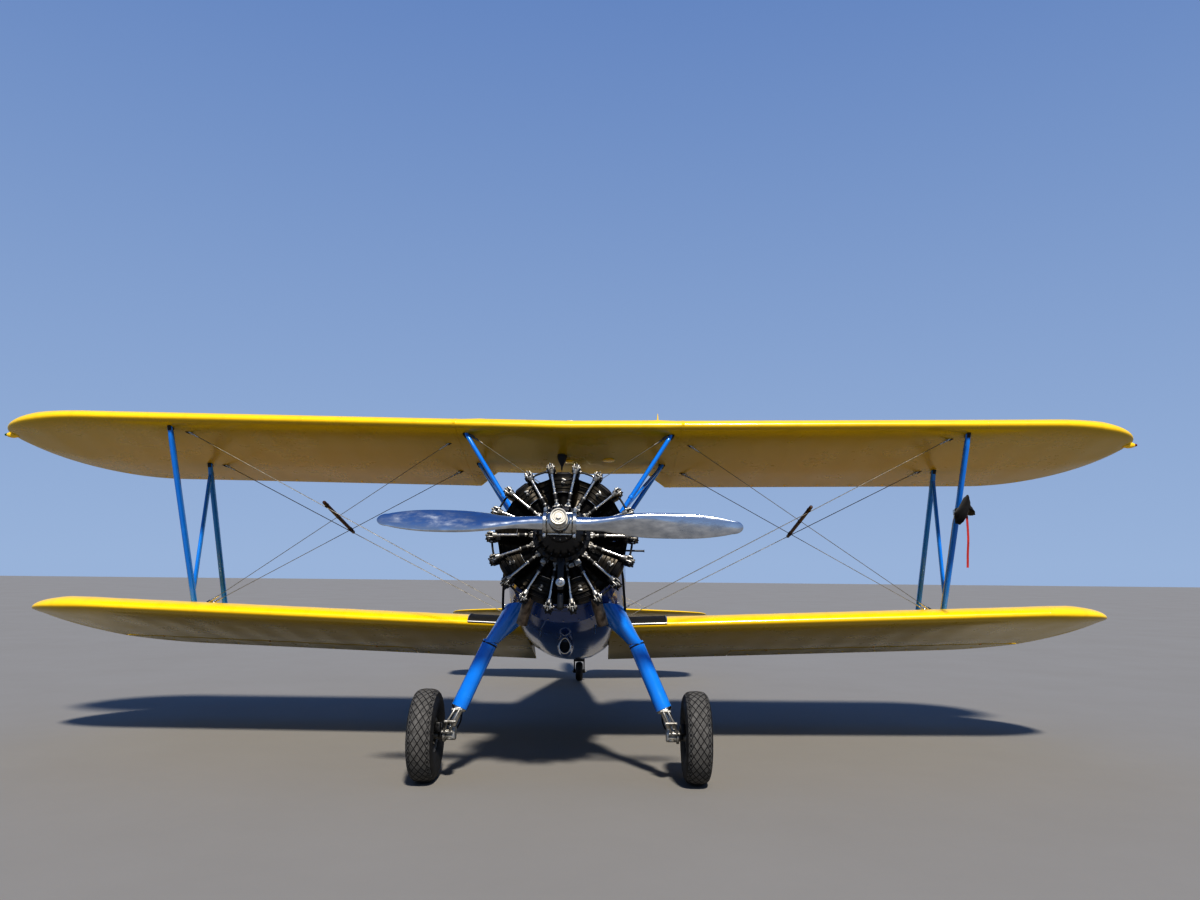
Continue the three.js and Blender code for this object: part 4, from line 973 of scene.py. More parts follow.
# Oil drain pipes between neighbouring rocker boxes, with bright clamps
bm, clamps = blank(), blank()
pipe = [Vector((0.505 * sin(a), 0.405, 0.505 * cos(a)))
        for a in even(radians(ROD_SPREAD), radians(40 - ROD_SPREAD), 10)]
sweep(bm, pipe, 0.0072, 10)
for share in (2, 8):
    way = (pipe[share + 1] - pipe[share - 1]).normalized() * 0.005
    rod(clamps, pipe[share] - way, pipe[share] + way, 0.0105, sides=16)
    block(clamps, (0.006, 0.006, 0.008), pipe[share] + Vector((0, -0.013, 0)), 0.001)
per_cylinder("rocker_drain_pipes", bm, black_rubber, "black_steel")
per_cylinder("drain_pipe_clamps", clamps, bright_steel)

# Inlet pipes from the blower case to the back of each head
bm = blank()
sweep(bm, route([(0.06, 0.61, 0.165), (0.078, 0.628, 0.22), (0.082, 0.628, 0.32), (0.074, 0.602, 0.4),
                 (0.055, 0.55, 0.43)], 5), 0.021, 14)
per_cylinder("inlet_pipes", bm, black_steel, "engine_iron")

# Exhaust: collector ring, ports, and two outlets open at the end
bm, port, outlets = blank(), blank(), blank()
sweep(bm, hoop(0.335, 0.635), 0.034, 18, closed=True)
sweep(port, route([(-0.04, 0.52, 0.425), (-0.045, 0.57, 0.425), (-0.035, 0.612, 0.395),
                   (-0.02, 0.63, 0.355)], 5), 0.024, 14)
nut(port, (-0.04, 0.508, 0.425), (-0.04, 0.522, 0.425), 0.036)
around(port, CYLINDERS)
join(bm, port)
sweep(outlets, route([(0.19, 0.635, -0.27), (0.232, 0.668, -0.365), (0.268, 0.712, -0.47),
                      (0.3, 0.765, -0.575)]), even(0.038, 0.042, 18), 24, bore=(0.94, 6))
twinned(outlets)
join(bm, outlets)
make("exhaust_collector_ring", bm, exhaust_steel, "exhaust_steel", replaces="exhaust_collector")

# Sump between the two lowest cylinders, its drain plug, and the pad of the oil pipe below
bm = blank()
block(bm, (0.048, 0.075, 0.235), (0, 0.315, -0.285), 0.012, 3)
block(bm, (0.06, 0.03, 0.06), (0, 0.3, -0.205), 0.01)
make("oil_sump", bm, case_enamel, "engine_iron")
bm = blank()
turn(bm, [(0, -0.03), (0.012, -0.03), (0.016, -0.026), (0.016, -0.014), (0.026, -0.014), (0.033, -0.01),
          (0.033, 0.006), (0.028, 0.01), (0, 0.01)], at((0, 0.278, -0.352)) @ AFT, 28)
nut(bm, (0, 0.24, -0.352), (0, 0.252, -0.352), 0.01)
make("sump_drain_plug", bm, bright_steel, "engine_alloy")
bm = blank()
block(bm, (0.05, 0.045, 0.13), (0, 0.345, -0.47), 0.02, 4)
make("oil_pipe_pad", bm, case_enamel, "engine_alloy")

# Small pipes, and the rod that stands out at the right of the picture
bm = blank()
rod(bm, (0.455, 0.46, -0.084), (0.5915, 0.46, -0.0853), 0.0065)
rod(bm, (0.588, 0.46, -0.0853), (0.594, 0.46, -0.0853), 0.009)
for a in (radians(200 + 32 * k) for k in range(5)):
    bends = ((0.14, 0.29, 0), (0.19, 0.282, 0.12), (0.235, 0.31, 0.1), (0.25, 0.36, 0))
    sweep(bm, route([(reach * sin(a + on), y, reach * cos(a + on)) for reach, y, on in bends], 5), 0.005, 8)
make("primer_pipes_and_rod", bm, black_steel, "black_steel")

# Magneto and lead boxes low at the front of the case
bm = blank()
for turned, size in ((150, 0.05), (162, 0.042), (212, 0.045)):
    x, z = 0.235 * sin(radians(turned)), 0.235 * cos(radians(turned))
    block(bm, (size, 0.035, size * 0.8), at((x, 0.318, z)) @ spun(turned, "Y"), 0.008, 3)
    nut(bm, (x, 0.29, z), (x, 0.302, z), 0.011)
make("case_front_fittings", bm, cast_alloy, "engine_alloy")

# Propeller: two forged blades in a split hub with clamp rings
# Blade rows: [radius, chord, thickness, pitch, share of the thickness in front]
PROPELLER = LEVEL @ spun(0.75, "Y")
blade_rows = [
    [0.1133, 0.099, 0.098, 45, 0.5], [0.2, 0.099, 0.092, 44, 0.5], [0.3, 0.112, 0.07, 42, 0.55],
    [0.4, 0.14, 0.05, 36, 0.65], [0.5, 0.163, 0.038, 30, 0.75], [0.6, 0.172, 0.031, 23, 0.8],
    [0.73, 0.172, 0.025, 16, 0.8], [0.9, 0.165, 0.019, 13, 0.8], [1, 0.15, 0.015, 12, 0.8],
    [1.1, 0.122, 0.012, 11, 0.8], [1.17, 0.092, 0.009, 10.5, 0.8], [1.22, 0.056, 0.006, 10, 0.8],
    [1.243, 0.012, 0.003, 10, 0.8],
]
TIP_START, TIP_END = 1.17, 1.243
blade_stations = even(0.1133, TIP_START, 40)
blade_stations += [TIP_START + (TIP_END - TIP_START) * sin(a) for a in even(0, pi / 2, 10)[1:]]
rings = []
for radius in blade_stations:
    _, chord, thick, pitch, ahead = along(blade_rows, radius)
    if radius > TIP_START:
        chord = 0.092 * math.sqrt(max(0.004, 1 - ((radius - TIP_START) / 0.0731) ** 2))
    angle, sharp = radians(pitch), min(1, max(0, (radius - 0.22) / 0.22))
    ring = []
    for fore, proud in circle(36, 1):
        proud *= thick * (ahead if proud > 0 else 1 - ahead) * (1 + 0.3 * fore * sharp)
        fore *= chord / 2
        ring.append(Vector((radius, -fore * sin(angle) - proud * cos(angle),
                            fore * cos(angle) - proud * sin(angle))))
    rings.append(ring)
for side, turned in (("left", 0), ("right", 180)):
    bm = blank()
    skin(bm, rings, place=spun(turned, "Y"))
    make(f"propeller_blade_forging_{side}", bm, blade_metal, "propeller_alloy", "propeller",
         f"propeller_blade_{side}", PROPELLER)

bm = blank()
turn(bm, doubled([(0, -0.112), (0.052, -0.112), (0.06, -0.108), (0.066, -0.088), (0.071, -0.08)]), ACROSS, 48)
turn(bm, [(0, -0.1), (0.06, -0.1), (0.068, -0.094), (0.072, -0.08), (0.072, 0.058), (0.066, 0.064),
          (0.042, 0.066), (0.042, 0.12), (0, 0.12)], AFT, 48)
block(bm, (0.17, 0.01, 0.158), (0, 0.004, 0))
make("propeller_hub_barrel", bm, hub_metal, "propeller_alloy", "propeller", "propeller_hub", PROPELLER)
bm, bolts, hub_nut = blank(), blank(), blank()
for x in (-0.101, 0.101):
    turn(bm, doubled([(0.055, -0.012), (0.08, -0.012), (0.083, -0.009)]) + [(0.055, -0.012)],
         at((x, 0, 0)) @ ACROSS, 48)
    for end in (-1, 1):
        block(bm, (0.022, 0.052, 0.032), (x, -0.006, end * 0.088), 0.005)
        z = end * 0.092
        rod(bolts, (x, -0.046, z), (x, 0.034, z), 0.0055)
        nut(bolts, (x, -0.042, z), (x, -0.033, z), 0.0105)
        nut(bolts, (x, 0.022, z), (x, 0.03, z), 0.0105)
make("propeller_clamp_rings", bm, hub_metal, "propeller_alloy", "propeller", place=PROPELLER)
# Hub nut: a ringed cup with a bolt in the middle, on a short dark neck
turn(hub_nut, [(0, -0.2), (0.028, -0.2), (0.032, -0.2035), (0.0395, -0.2035), (0.0405, -0.198),
               (0.0445, -0.198), (0.0455, -0.2065), (0.0485, -0.208), (0.0535, -0.208), (0.0563, -0.2045),
               (0.0563, -0.182), (0.05, -0.178), (0.05, -0.126), (0.0575, -0.1245), (0.06, -0.121),
               (0.06, -0.109), (0.052, -0.105), (0.052, -0.095), (0, -0.095)], AFT, 56)
nut(hub_nut, (0, -0.2, 0), (0, -0.213, 0), 0.0185, 0.018)
rod(hub_nut, (0, -0.199, 0), (0, -0.2025, 0), 0.0235)
make("propeller_hub_nut", hub_nut, cadmium_steel, "propeller_alloy", "propeller", place=PROPELLER)
make("propeller_hub_bolts", bolts, bright_steel, "propeller_alloy", "propeller", place=PROPELLER)

# Cowl between the engine and the firewall, and the scoop under the belly
cowl_rows = [[0.705, 0.325, 0.33, -0.39, -0.03, 2, 2.1], [0.8, 0.37, 0.364, -0.452, -0.044, 2.05, 2.2],
             [0.9497, 0.425, 0.405, -0.54, -0.06, 2.1, 2.3]]
bm, fasteners = blank(), blank()
skin(bm, [hull_ring(cowl_rows[0], 0.03)] + [hull_ring(along(cowl_rows, y)) for y in even(0.705, 0.9497, 10)])
make("accessory_cowl_panels", bm, painted_shade_navy_enamel, "fuselage_metal", replaces="accessory_cowl", crease=50)
ring = hull_ring(along(cowl_rows, 0.93))
for k in range(4, 30):
    spot = ring[(k * 3) % HULL_POINTS]
    rod(fasteners, spot * 0.998, spot + Vector((spot.x, 0, spot.z)).normalized() * 0.002, 0.007)
make("cowl_fasteners", fasteners, bright_steel, "fuselage_metal")


def scoop_ring(y, half, low, high, count=36):
    """An oval section of the scoop, narrowed to a neck above."""
    middle, tall = (low + high) / 2, (high - low) / 2
    return [Vector((half * across * (1 - 0.25 * max(0, up)), y, middle + tall * up))
            for across, up in circle(count, 1)]


scoop_rows = [[1.33, 0.052, -0.738, -0.592], [1.37, 0.056, -0.742, -0.585], [1.48, 0.066, -0.745, -0.56],
              [1.64, 0.061, -0.705, -0.56], [1.78, 0.046, -0.65, -0.56]]
bm, lip, screen = blank(), blank(), blank()
skin(bm, [scoop_ring(y, half, -0.724, -0.616) for y, half in ((1.44, 0.034), (1.345, 0.038), (1.331, 0.041))]
     + [scoop_ring(*along(scoop_rows, y)) for y in even(1.33, 1.78, 20)])
make("belly_scoop_shell", bm, painted_shade_navy_enamel, "fuselage_metal", replaces="belly_scoop", crease=50)
sweep(lip, scoop_ring(1.328, 0.0455, -0.73, -0.61, 40), 0.0068, 10, closed=True)
make("belly_scoop_lip", lip, bright_steel, "fuselage_metal")
turn(screen, [(0, 0), (0.036, 0), (0.036, 0.003), (0, 0.003)], at((0, 1.4, -0.67)) @ AFT, 28)
for z in even(-0.702, -0.638, 4):
    block(screen, (0.066, 0.004, 0.004), (0, 1.396, z), 0.001)
make("belly_scoop_screen", screen, black_steel, "black_steel")

# Drain tubes under the belly, and hoses down the cowl's sides
bm, hose = blank(), blank()
rod(bm, (0.338, 1.06, -0.47), (0.338, 1.045, -0.556), 0.007)
rod(bm, (0.24, 1.06, -0.54), (0.239, 1.045, -0.608), 0.0065)
rod(bm, (-0.18, 1.14, -0.56), (-0.182, 1.12, -0.628), 0.0065)
make("belly_drain_tubes", bm, bright_steel, "wire_steel")
for way in (1, -1):
    sweep(hose, route([(way * x, y, z) for x, y, z in (
        (0.4, 0.76, -0.08), (0.439, 0.75, -0.18), (0.455, 0.85, -0.3), (0.469, 1, -0.418),
        (0.462, 1.06, -0.47))]), 0.009)
make("brake_hoses_beside_cowl", hose, black_rubber, "black_steel")


# Streamlined struts. The chord lies fore and aft, and both ends narrow into a socket
def strut(bm, ends, chord, thickness, low=0.0, high=1.0, taper=0.045):
    """A drop-shaped strut along a pair of ends, or over a share of them."""
    start, end = ends[0].lerp(ends[-1], low), ends[0].lerp(ends[-1], high)
    way = (end - start).normalized()
    aft = (Vector((0, 1, 0)) - way * way.y).normalized()
    wide = way.cross(aft)
    rings = []
    for t in (0, 0.012, 0.03, taper, 0.07, 0.3, 0.5, 0.7, 0.93, 1 - taper, 0.97, 0.988, 1):
        near = min(1, min(t, 1 - t) / 0.07)
        long = chord * (0.55 + 0.45 * (near * near * (3 - 2 * near)))
        rings.append([start.lerp(end, t) - aft * (fore * long / 2)
                      + wide * (proud * thickness / 2 * (1 + 0.22 * fore)) for fore, proud in circle(24, 1)])
    skin(bm, rings)


def slanting(front, low, rear, high):
    """The line from a share of one strut up to a share of another."""
    return front[0].lerp(front[1], low), rear[0].lerp(rear[1], high)


cabane_front = (Vector((0.345, 1.23, 0.24)), on_wing(upper_wing, 0.862, 0.118, LOWER, -0.004))
cabane_rear = (Vector((0.345, 1.73, 0.24)), on_wing(upper_wing, 0.828, 0.786, LOWER, -0.004))
bay_front = (wing_place(lower_wing, 3.285, 0.27, 0.035), wing_place(upper_wing, 3.343, 0.11, -0.04))
bay_rear = (wing_place(lower_wing, 3.285, 1, 0.035), wing_place(upper_wing, 3.343, 0.95, -0.045))
bm = blank()
strut(bm, cabane_front, 0.066, 0.037)
strut(bm, cabane_rear, 0.066, 0.037)
strut(bm, slanting(cabane_front, 0.2, cabane_rear, 0.94), 0.046, 0.027)
# A sleeve a third of the way up the front strut
strut(bm, cabane_front, 0.072, 0.043, 0.33, 0.36, 0.3)
pair("cabane_strut_tubes_*", bm, azure_enamel, "strut_paint", replaces="cabane_struts_*")
bm = blank()
strut(bm, bay_front, 0.078, 0.042)
strut(bm, bay_rear, 0.078, 0.042)
strut(bm, slanting(bay_front, 0.1, bay_rear, 0.95), 0.06, 0.03)
pair("interplane_strut_tubes_*", bm, azure_enamel, "strut_paint", replaces="interplane_struts_*")


def both_ends(ends):
    """Each end of a line, the far end seen from it, and the direction there."""
    low, high = ends
    way = (high - low).normalized()
    return (low, high, way), (high, low, -way)


# Black cuffs and polished bolts where the struts meet the wings and the fuselage
cuffs, bolts = blank(), blank()
for ends in (cabane_front, cabane_rear, bay_front, bay_rear):
    for near, far, way in both_ends(ends):
        block(cuffs, (0.03, 0.05, 0.046), aimed(near - way * 0.01, far) @ at((0, 0, 0.022)), 0.006)
        spot = near + way * 0.026
        pin(bolts, spot, 0.024, 0.0075)
        for out in (-0.021, 0.021):
            pin(bolts, spot + Vector((out, 0, 0)), 0.003, 0.013, 6)
make("strut_cuffs", cuffs, black_steel, "black_steel", twin=True)
make("strut_bolts", bolts, bright_steel, "wire_steel", twin=True)

# Streamlined flying and landing wires with a fork end, a lock nut and a plate at both ends
wires = {
    "flying_wire_front": (Vector((0.425, 1.39, -0.385)), wing_place(upper_wing, 3.225, 0.2, -0.05)),
    "flying_wire_rear": (Vector((0.425, 1.96, -0.393)), wing_place(upper_wing, 3.205, 0.97, -0.05)),
    "landing_wire_front": (wing_place(lower_wing, 3.15, 0.2, 0.105),
                           wing_place(upper_wing, 1.03, 0.32, -0.05)),
    "landing_wire_rear": (wing_place(lower_wing, 3.15, 0.26, 0.105),
                          wing_place(upper_wing, 1.03, 1, -0.05)),
}
forks, plates = blank(), blank()
for name, ends in wires.items():
    bm = blank()
    sweep(bm, even(*ends, 12), 0.0036, 10, flat=0.6)
    pair(f"{name}_rod_*", bm, stainless_wire, "wire_steel", replaces=f"{name}_*")
    for near, far, way in both_ends(ends):
        rod(forks, near, near + way * 0.028, 0.0085)
        block(forks, (0.02, 0.014, 0.026), aimed(near, far) @ at((0, 0, 0.014)))
        nut(forks, near + way * 0.03, near + way * 0.042, 0.0115)
        rod(forks, near + way * 0.042, near + way * 0.105, 0.0072, 0.0058)
        nut(forks, near + way * 0.06, near + way * 0.07, 0.0095)
        block(plates, (0.006, 0.03, 0.07), aimed(near - way * 0.03, far) @ at((0, 0, 0.012)), 0.002)
make("wire_fork_ends", forks, bright_steel, "wire_steel", twin=True)
make("wire_plates", plates, black_steel, "black_steel", twin=True)

# Roll wires across the cabane, from each front strut's top to the other side's foot
bm = blank()
top, foot = wing_place(upper_wing, 0.8, 0.125, -0.07), Vector((-0.33, 1.235, 0.262))
sweep(bm, even(top, foot, 8), 0.0034, 8, flat=0.6)
way = (foot - top).normalized()
rod(bm, top, top + way * 0.1, 0.0065)
nut(bm, top + way * 0.03, top + way * 0.042, 0.0105)
block(bm, (0.005, 0.026, 0.06), aimed(top - way * 0.03, foot) @ at((0, 0, 0.012)), 0.002)
make("cabane_roll_wires", bm, stainless_wire, "wire_steel", twin=True)

# Wooden stick that keeps the wires from humming, bound to them with cord
near, far = Vector((2.007, 1.225, 0.462)), Vector((1.986, 2.115, 0.415))
bm, binding = blank(), blank()
sweep(bm, [near.lerp(far, t) for t in (0, 0.004, 0.012, 0.25, 0.5, 0.75, 0.988, 0.996, 1)],
      [0.008, 0.0125, 0.0145, 0.015, 0.0155, 0.015, 0.0145, 0.0125, 0.008], 16)
for share in (0.092, 0.461, 0.863, 0.907):
    for y in (-0.0045, 0, 0.0045):
        turn(binding, [(0.015, -0.0022), (0.0172, 0), (0.015, 0.0022), (0.015, -0.0022)],
             at((0, y, 0)) @ aimed(near.lerp(far, share), far), 20)
pair("wire_spreader_stick_*", bm, walnut, "spreader_wood", replaces="wire_spreader_*")
make("spreader_bindings", binding, black_rubber, "black_steel", twin=True)

# Main gear: fairing, ring, leg tube, polished collar, torque links and axle
# Rows of the fairing: [row, sideways, aft, height, half width, half length]
leg_rows = [[0, 0.345, 1.13, -0.4, 0.118, 0.25], [1, 0.442, 1.085, -0.545, 0.092, 0.195],
            [2, 0.508, 1.025, -0.635, 0.07, 0.11], [3, 0.552, 1, -0.692, 0.061, 0.066]]
leg_top, leg_foot = Vector((0.556, 1, -0.692)), Vector((0.757, 0.975, -1.162))
wheel_place = LEVEL.inverted() @ Vector(joints["wheel_left_spin"]["pos_m"])
axle_inner = Vector((0.838, wheel_place.y, wheel_place.z))
bm, leg_joint, piston = blank(), blank(), blank()
rings = []
for _, x, y, z, wide, long in (along(leg_rows, row) for row in even(0, 3, 24)):
    rings.append([Vector((x + wide * across, y + long * fore, z)) for across, fore in circle(36, 1)])
skin(bm, rings)
sweep(bm, [leg_top.lerp(leg_foot, t) for t in (-0.02, 0.05, 0.35, 0.7, 0.78, 0.8, 0.96, 1)],
      [0.0585, 0.0585, 0.059, 0.0595, 0.0595, 0.0605, 0.0605, 0.06], 32)
pair("gear_leg_tube_*", bm, azure_enamel, "strut_paint", replaces="gear_leg_*")
turn(leg_joint, doubled([(0.05, -0.005), (0.0595, -0.005), (0.061, -0.003)]) + [(0.05, -0.005)],
     aimed(leg_top.lerp(leg_foot, 0.02), leg_foot), 36)
make("gear_leg_joint_rings", leg_joint, black_rubber, "black_steel", twin=True)
aim = aimed(leg_foot, axle_inner)
turn(piston, [(0, -0.012), (0.055, -0.012), (0.057, -0.008), (0.057, 0.012), (0.052, 0.016), (0.044, 0.018),
              (0.044, 0.022), (0.036, 0.024), (0.036, 0.15), (0, 0.15)], aim, 36)
for inside, outside in zip(circle(6, 0.054), circle(6, 0.0575)):
    nut(piston, aim @ Vector((*inside, 0.002)), aim @ Vector((*outside, 0.002)), 0.006)
make("oleo_pistons", piston, bright_steel, "gear_steel", replaces="axle_left axle_right", twin=True)

# Axle block, stub axle and torque links in front of the piston
bm = blank()
block(bm, (0.08, 0.08, 0.096), axle_inner + Vector((-0.03, -0.004, 0.012)), 0.014, 3)
pin(bm, axle_inner + Vector((0.05, 0, 0)), 0.11, 0.03, 28)
turn(bm, [(0, -0.01), (0.046, -0.01), (0.048, -0.006), (0.048, 0.008), (0, 0.008)],
     at(axle_inner + Vector((0.016, 0, 0))) @ ACROSS, 28)
# Pins of the links: place, half length, and how wide apart the two arms stand there
link_pins = ((Vector((0.764, 0.92, -1.182)), 0.034, 0.8), (Vector((0.8, 0.858, -1.268)), 0.038, 1),
             (Vector((0.826, 0.905, -1.338)), 0.036, 0.9))
for side in (-0.022, 0.022):
    arm = [spot + Vector((side * share, 0, 0)) for spot, _, share in link_pins]
    for start, end in zip(arm, arm[1:]):
        sweep(bm, [start.lerp(end, t) for t in (0, 0.15, 0.5, 0.85, 1)],
              [0.013, 0.01, 0.0075, 0.01, 0.013], 12)
for spot, half, _ in link_pins:
    pin(bm, spot, half, 0.011, 20)
    for end in (-1, 1):
        pin(bm, spot + Vector((end * (half + 0.0025), 0, 0)), 0.0025, 0.013, 6)
block(bm, (0.05, 0.048, 0.03), (0.762, 0.938, -1.18), 0.006)
block(bm, (0.056, 0.048, 0.032), (0.826, 0.926, -1.338), 0.006)
# Jacking pad under the axle
turn(bm, [(0, -0.006), (0.026, -0.006), (0.026, 0.004), (0.018, 0.01), (0, 0.01)],
     at((0.8075, 0.9194, -1.3828)), 20)
make("axles_and_torque_links", bm, cast_alloy, "gear_steel", twin=True)

# Brake: the caliper on the axle flange, and the hose down the leg
bm, hose = blank(), blank()
block(bm, (0.05, 0.07, 0.075), axle_inner + Vector((0.058, -0.055, 0.052)), 0.01, 3)
block(bm, (0.024, 0.05, 0.1), axle_inner + Vector((0.04, -0.03, 0.03)), 0.006)
for z in (0.036, 0.068):
    nut(bm, axle_inner + Vector((0.052, -0.096, z)), axle_inner + Vector((0.052, -0.086, z)), 0.008)
make("brake_calipers", bm, black_steel, "gear_steel", twin=True)
sweep(hose, route([(0.56, 1.074, -0.72), (0.624, 1.066, -0.88), (0.7, 1.054, -1.05), (0.742, 1.044, -1.17),
                   (0.752, 1.04, -1.26), (0.79, 1.02, -1.33), (0.842, 0.98, -1.35),
                   (0.88, 0.94, -1.32)]), 0.0058)
make("brake_hoses", hose, black_rubber, "black_steel", twin=True)

# Wheels and tyres, turned about their axles. Tyre rows: [step across the half section, offset, radius]
tyre_rows = [[0, 0, 0.3275], [1, 0.03, 0.3262], [2, 0.06, 0.3195], [3, 0.08, 0.302], [4, 0.0915, 0.276],
             [5, 0.095, 0.248], [6, 0.0925, 0.21], [7, 0.086, 0.17], [8, 0.076, 0.135], [9, 0.064, 0.118],
             [10, 0.06, 0.106]]
GROOVE, TREAD_EDGE = 0.003, 3.2
BLOCKS_ACROSS, BLOCKS_ROUND = 4, 28


def tyre_point(step, sunk=0.0):
    """The offset and radius of the tyre's skin at a step from its middle."""
    _, offset, radius = along(tyre_rows, abs(step))
    return math.copysign(offset, step), radius - sunk


for side, flip in SIDES:
    body = f"wheel_{side}"
    AXLE = at(joints[f"{body}_spin"]["pos_m"]) @ flip @ ACROSS
    bm, tread, wheel, holes, cap, disc = (blank() for _ in range(6))
    profile = [tyre_point(step, GROOVE if abs(step) <= TREAD_EDGE else 0) for step in even(-10, 10, 80)]
    turn(bm, [(radius, offset) for offset, radius in profile] + [(0.106, -0.06)], steps=112)
    make(f"tyre_carcass_{side}", bm, tyre_shoulder, "tyre_rubber", body, f"tyre_{side}", AXLE)

    bmesh.ops.create_grid(tread, x_segments=BLOCKS_ACROSS, y_segments=BLOCKS_ROUND, size=0.5)
    for corner in tread.verts:
        offset, radius = tyre_point(corner.co.x * 2 * TREAD_EDGE * 0.97, GROOVE)
        angle = (corner.co.y + 0.5) * tau
        corner.co = (radius * cos(angle), radius * sin(angle), offset)
    bmesh.ops.remove_doubles(tread, verts=tread.verts, dist=1e-4)
    grid_lines = tread.edges[:]
    bmesh.ops.poke(tread, faces=tread.faces)
    for corner in tread.verts:
        step = min((k / 20 for k in range(-66, 67)), key=lambda s: abs(tyre_point(s)[0] - corner.co.z))
        reach = math.hypot(corner.co.x, corner.co.y)
        corner.co.x, corner.co.y = (value * tyre_point(step, GROOVE)[1] / reach for value in corner.co.xy)
    bmesh.ops.dissolve_edges(tread, edges=[edge for edge in grid_lines if len(edge.link_faces) == 2])
    bmesh.ops.recalc_face_normals(tread, faces=tread.faces)
    blocks = tread.faces[:]
    bmesh.ops.inset_individual(tread, faces=blocks, thickness=0.003, depth=GROOVE, use_even_offset=True)
    for face in blocks:
        face.material_index = 1
    piece = make(f"tyre_tread_{side}", tread, tyre_shoulder, "tyre_rubber", body, place=AXLE, crease=20)
    piece.data.materials.append(tyre_block)

    turn(wheel, [(0, -0.04), (0.034, -0.04), (0.036, -0.044), (0.06, -0.044), (0.064, -0.04), (0.092, -0.046),
                 (0.1, -0.058), (0.117, -0.0685), (0.121, -0.0675), (0.121, -0.0635), (0.108, -0.058),
                 (0.1055, -0.05), (0.1055, 0.05), (0.108, 0.058), (0.121, 0.0635), (0.121, 0.0675),
                 (0.117, 0.0685), (0.102, 0.058), (0.094, 0.04), (0.066, 0.03), (0.06, 0.044), (0.05, 0.048),
                 (0, 0.048)], steps=72)
    for spot in circle(8, 0.08, 0.5):
        rod(holes, (*spot, -0.2), (*spot, 0.2), 0.011, sides=20)
    casting = make(f"wheel_casting_{side}", wheel, wheel_alloy, "wheel_alloy", body, body, AXLE)
    carve(casting, holes, place=AXLE, crease=35)
    turn(cap, [(0, 0.046), (0.044, 0.046), (0.044, 0.056), (0.036, 0.064), (0.02, 0.069), (0, 0.07)],
         steps=40)
    for spot in circle(8, 0.054):
        nut(cap, (*spot, 0.04), (*spot, 0.053), 0.006)
    rod(cap, (0.088, 0.02, 0.044), (0.094, 0.022, 0.074), 0.004)
    make(f"wheel_cap_and_nuts_{side}", cap, bright_steel, "wheel_alloy", body, place=AXLE)
    turn(disc, [(0.05, -0.06), (0.098, -0.06), (0.1, -0.057), (0.1, -0.053), (0.098, -0.05), (0.05, -0.05),
                (0.05, -0.06)], steps=64)
    for spot in circle(10, 0.062):
        nut(disc, (*spot, -0.066), (*spot, -0.058), 0.006)
    make(f"brake_disc_{side}", disc, brake_iron, "wheel_alloy", body, place=AXLE)

# Tail surfaces. Section: share of the chord aft, share of the half thickness
tail_section = [[0, 0], [0.06, 0.55], [0.3, 1], [0.75, 0.9], [1, 0.35]]
TAIL_LIFT, TAIL_HINGE, RUDDER_HINGE = 0.285, 6.5, 6.655


def tail_ring(row, stand, nose=0.0):
    """The points round a tail section. A moving surface has a round nose about its hinge."""
    station, leading, trailing, half = row
    section = [[0, nose / half], *tail_section[2:]] if nose else [[math.sqrt(a), t] for a, t in tail_section]
    side = []
    for share in even(0, 1, 16) if nose else [0.5 - 0.5 * cos(a) for a in even(0, pi, 16)]:
        free = min(1, share / 0.1 - 1, (0.97 - share) / 0.05)
        drop = 0.0022 * sin(pi * station / TAIL_PITCH) ** 2 * max(0, free)
        thick = half * along(section, share if nose else math.sqrt(share))[1]
        side.append((leading + share * (trailing - leading), thick - min(drop, thick / 4)))
    front = [(leading - nose * sin(a), nose * cos(a)) for a in even(0, pi, 10)[1:-1]] if nose else []
    back = [(aft, -out) for aft, out in side[0 if nose else 1:]]
    return [stand(station, aft, out) for aft, out in side[::-1] + front + back]


def upright(z, aft, out):
    return Vector((out, aft, z))


def level(x, aft, out):
    return Vector((x, aft, TAIL_LIFT + out))


# Rows of the tail's outlines: [station, leading edge, trailing edge, half thickness]
fin_rows = [[0.15, 5.83, 6.623, 0.03], [0.33, 5.88, 6.623, 0.03], [0.7, 6.075, 6.623, 0.027],
            [0.95, 6.26, 6.623, 0.024], [1.06, 6.42, 6.623, 0.02], [1.1, 6.545, 6.623, 0.016]]
rudder_rows = [[-0.09, 6.655, 6.9, 0.02], [0.06, 6.655, 7.15, 0.024], [0.3, 6.655, 7.36, 0.026],
               [0.56, 6.655, 7.4, 0.026], [0.82, 6.655, 7.33, 0.024], [1.01, 6.655, 7.18, 0.02],
               [1.11, 6.655, 7.02, 0.015], [1.15, 6.67, 6.88, 0.008]]
plane_rows = [[0, 5.73, 6.468, 0.034], [0.4, 5.79, 6.468, 0.034], [1.1, 5.925, 6.468, 0.03],
              [1.5, 6.03, 6.468, 0.024], [1.66, 6.12, 6.468, 0.018], [1.709, 6.25, 6.468, 0.012]]
elevator_rows = [[0.062, 6.5, 6.96, 0.022], [0.7, 6.5, 6.975, 0.022], [1.25, 6.5, 6.92, 0.02],
                 [1.56, 6.5, 6.79, 0.016], [1.68, 6.5, 6.66, 0.012], [1.721, 6.5, 6.56, 0.006]]


def elevator_row(x):
    """An elevator section, cut away beside the rudder."""
    _, leading, trailing, half = along(elevator_rows, x)
    return [x, leading, max(6.522, min(trailing, 6.52 + (x - 0.075) * 0.48 / 0.255)), half]


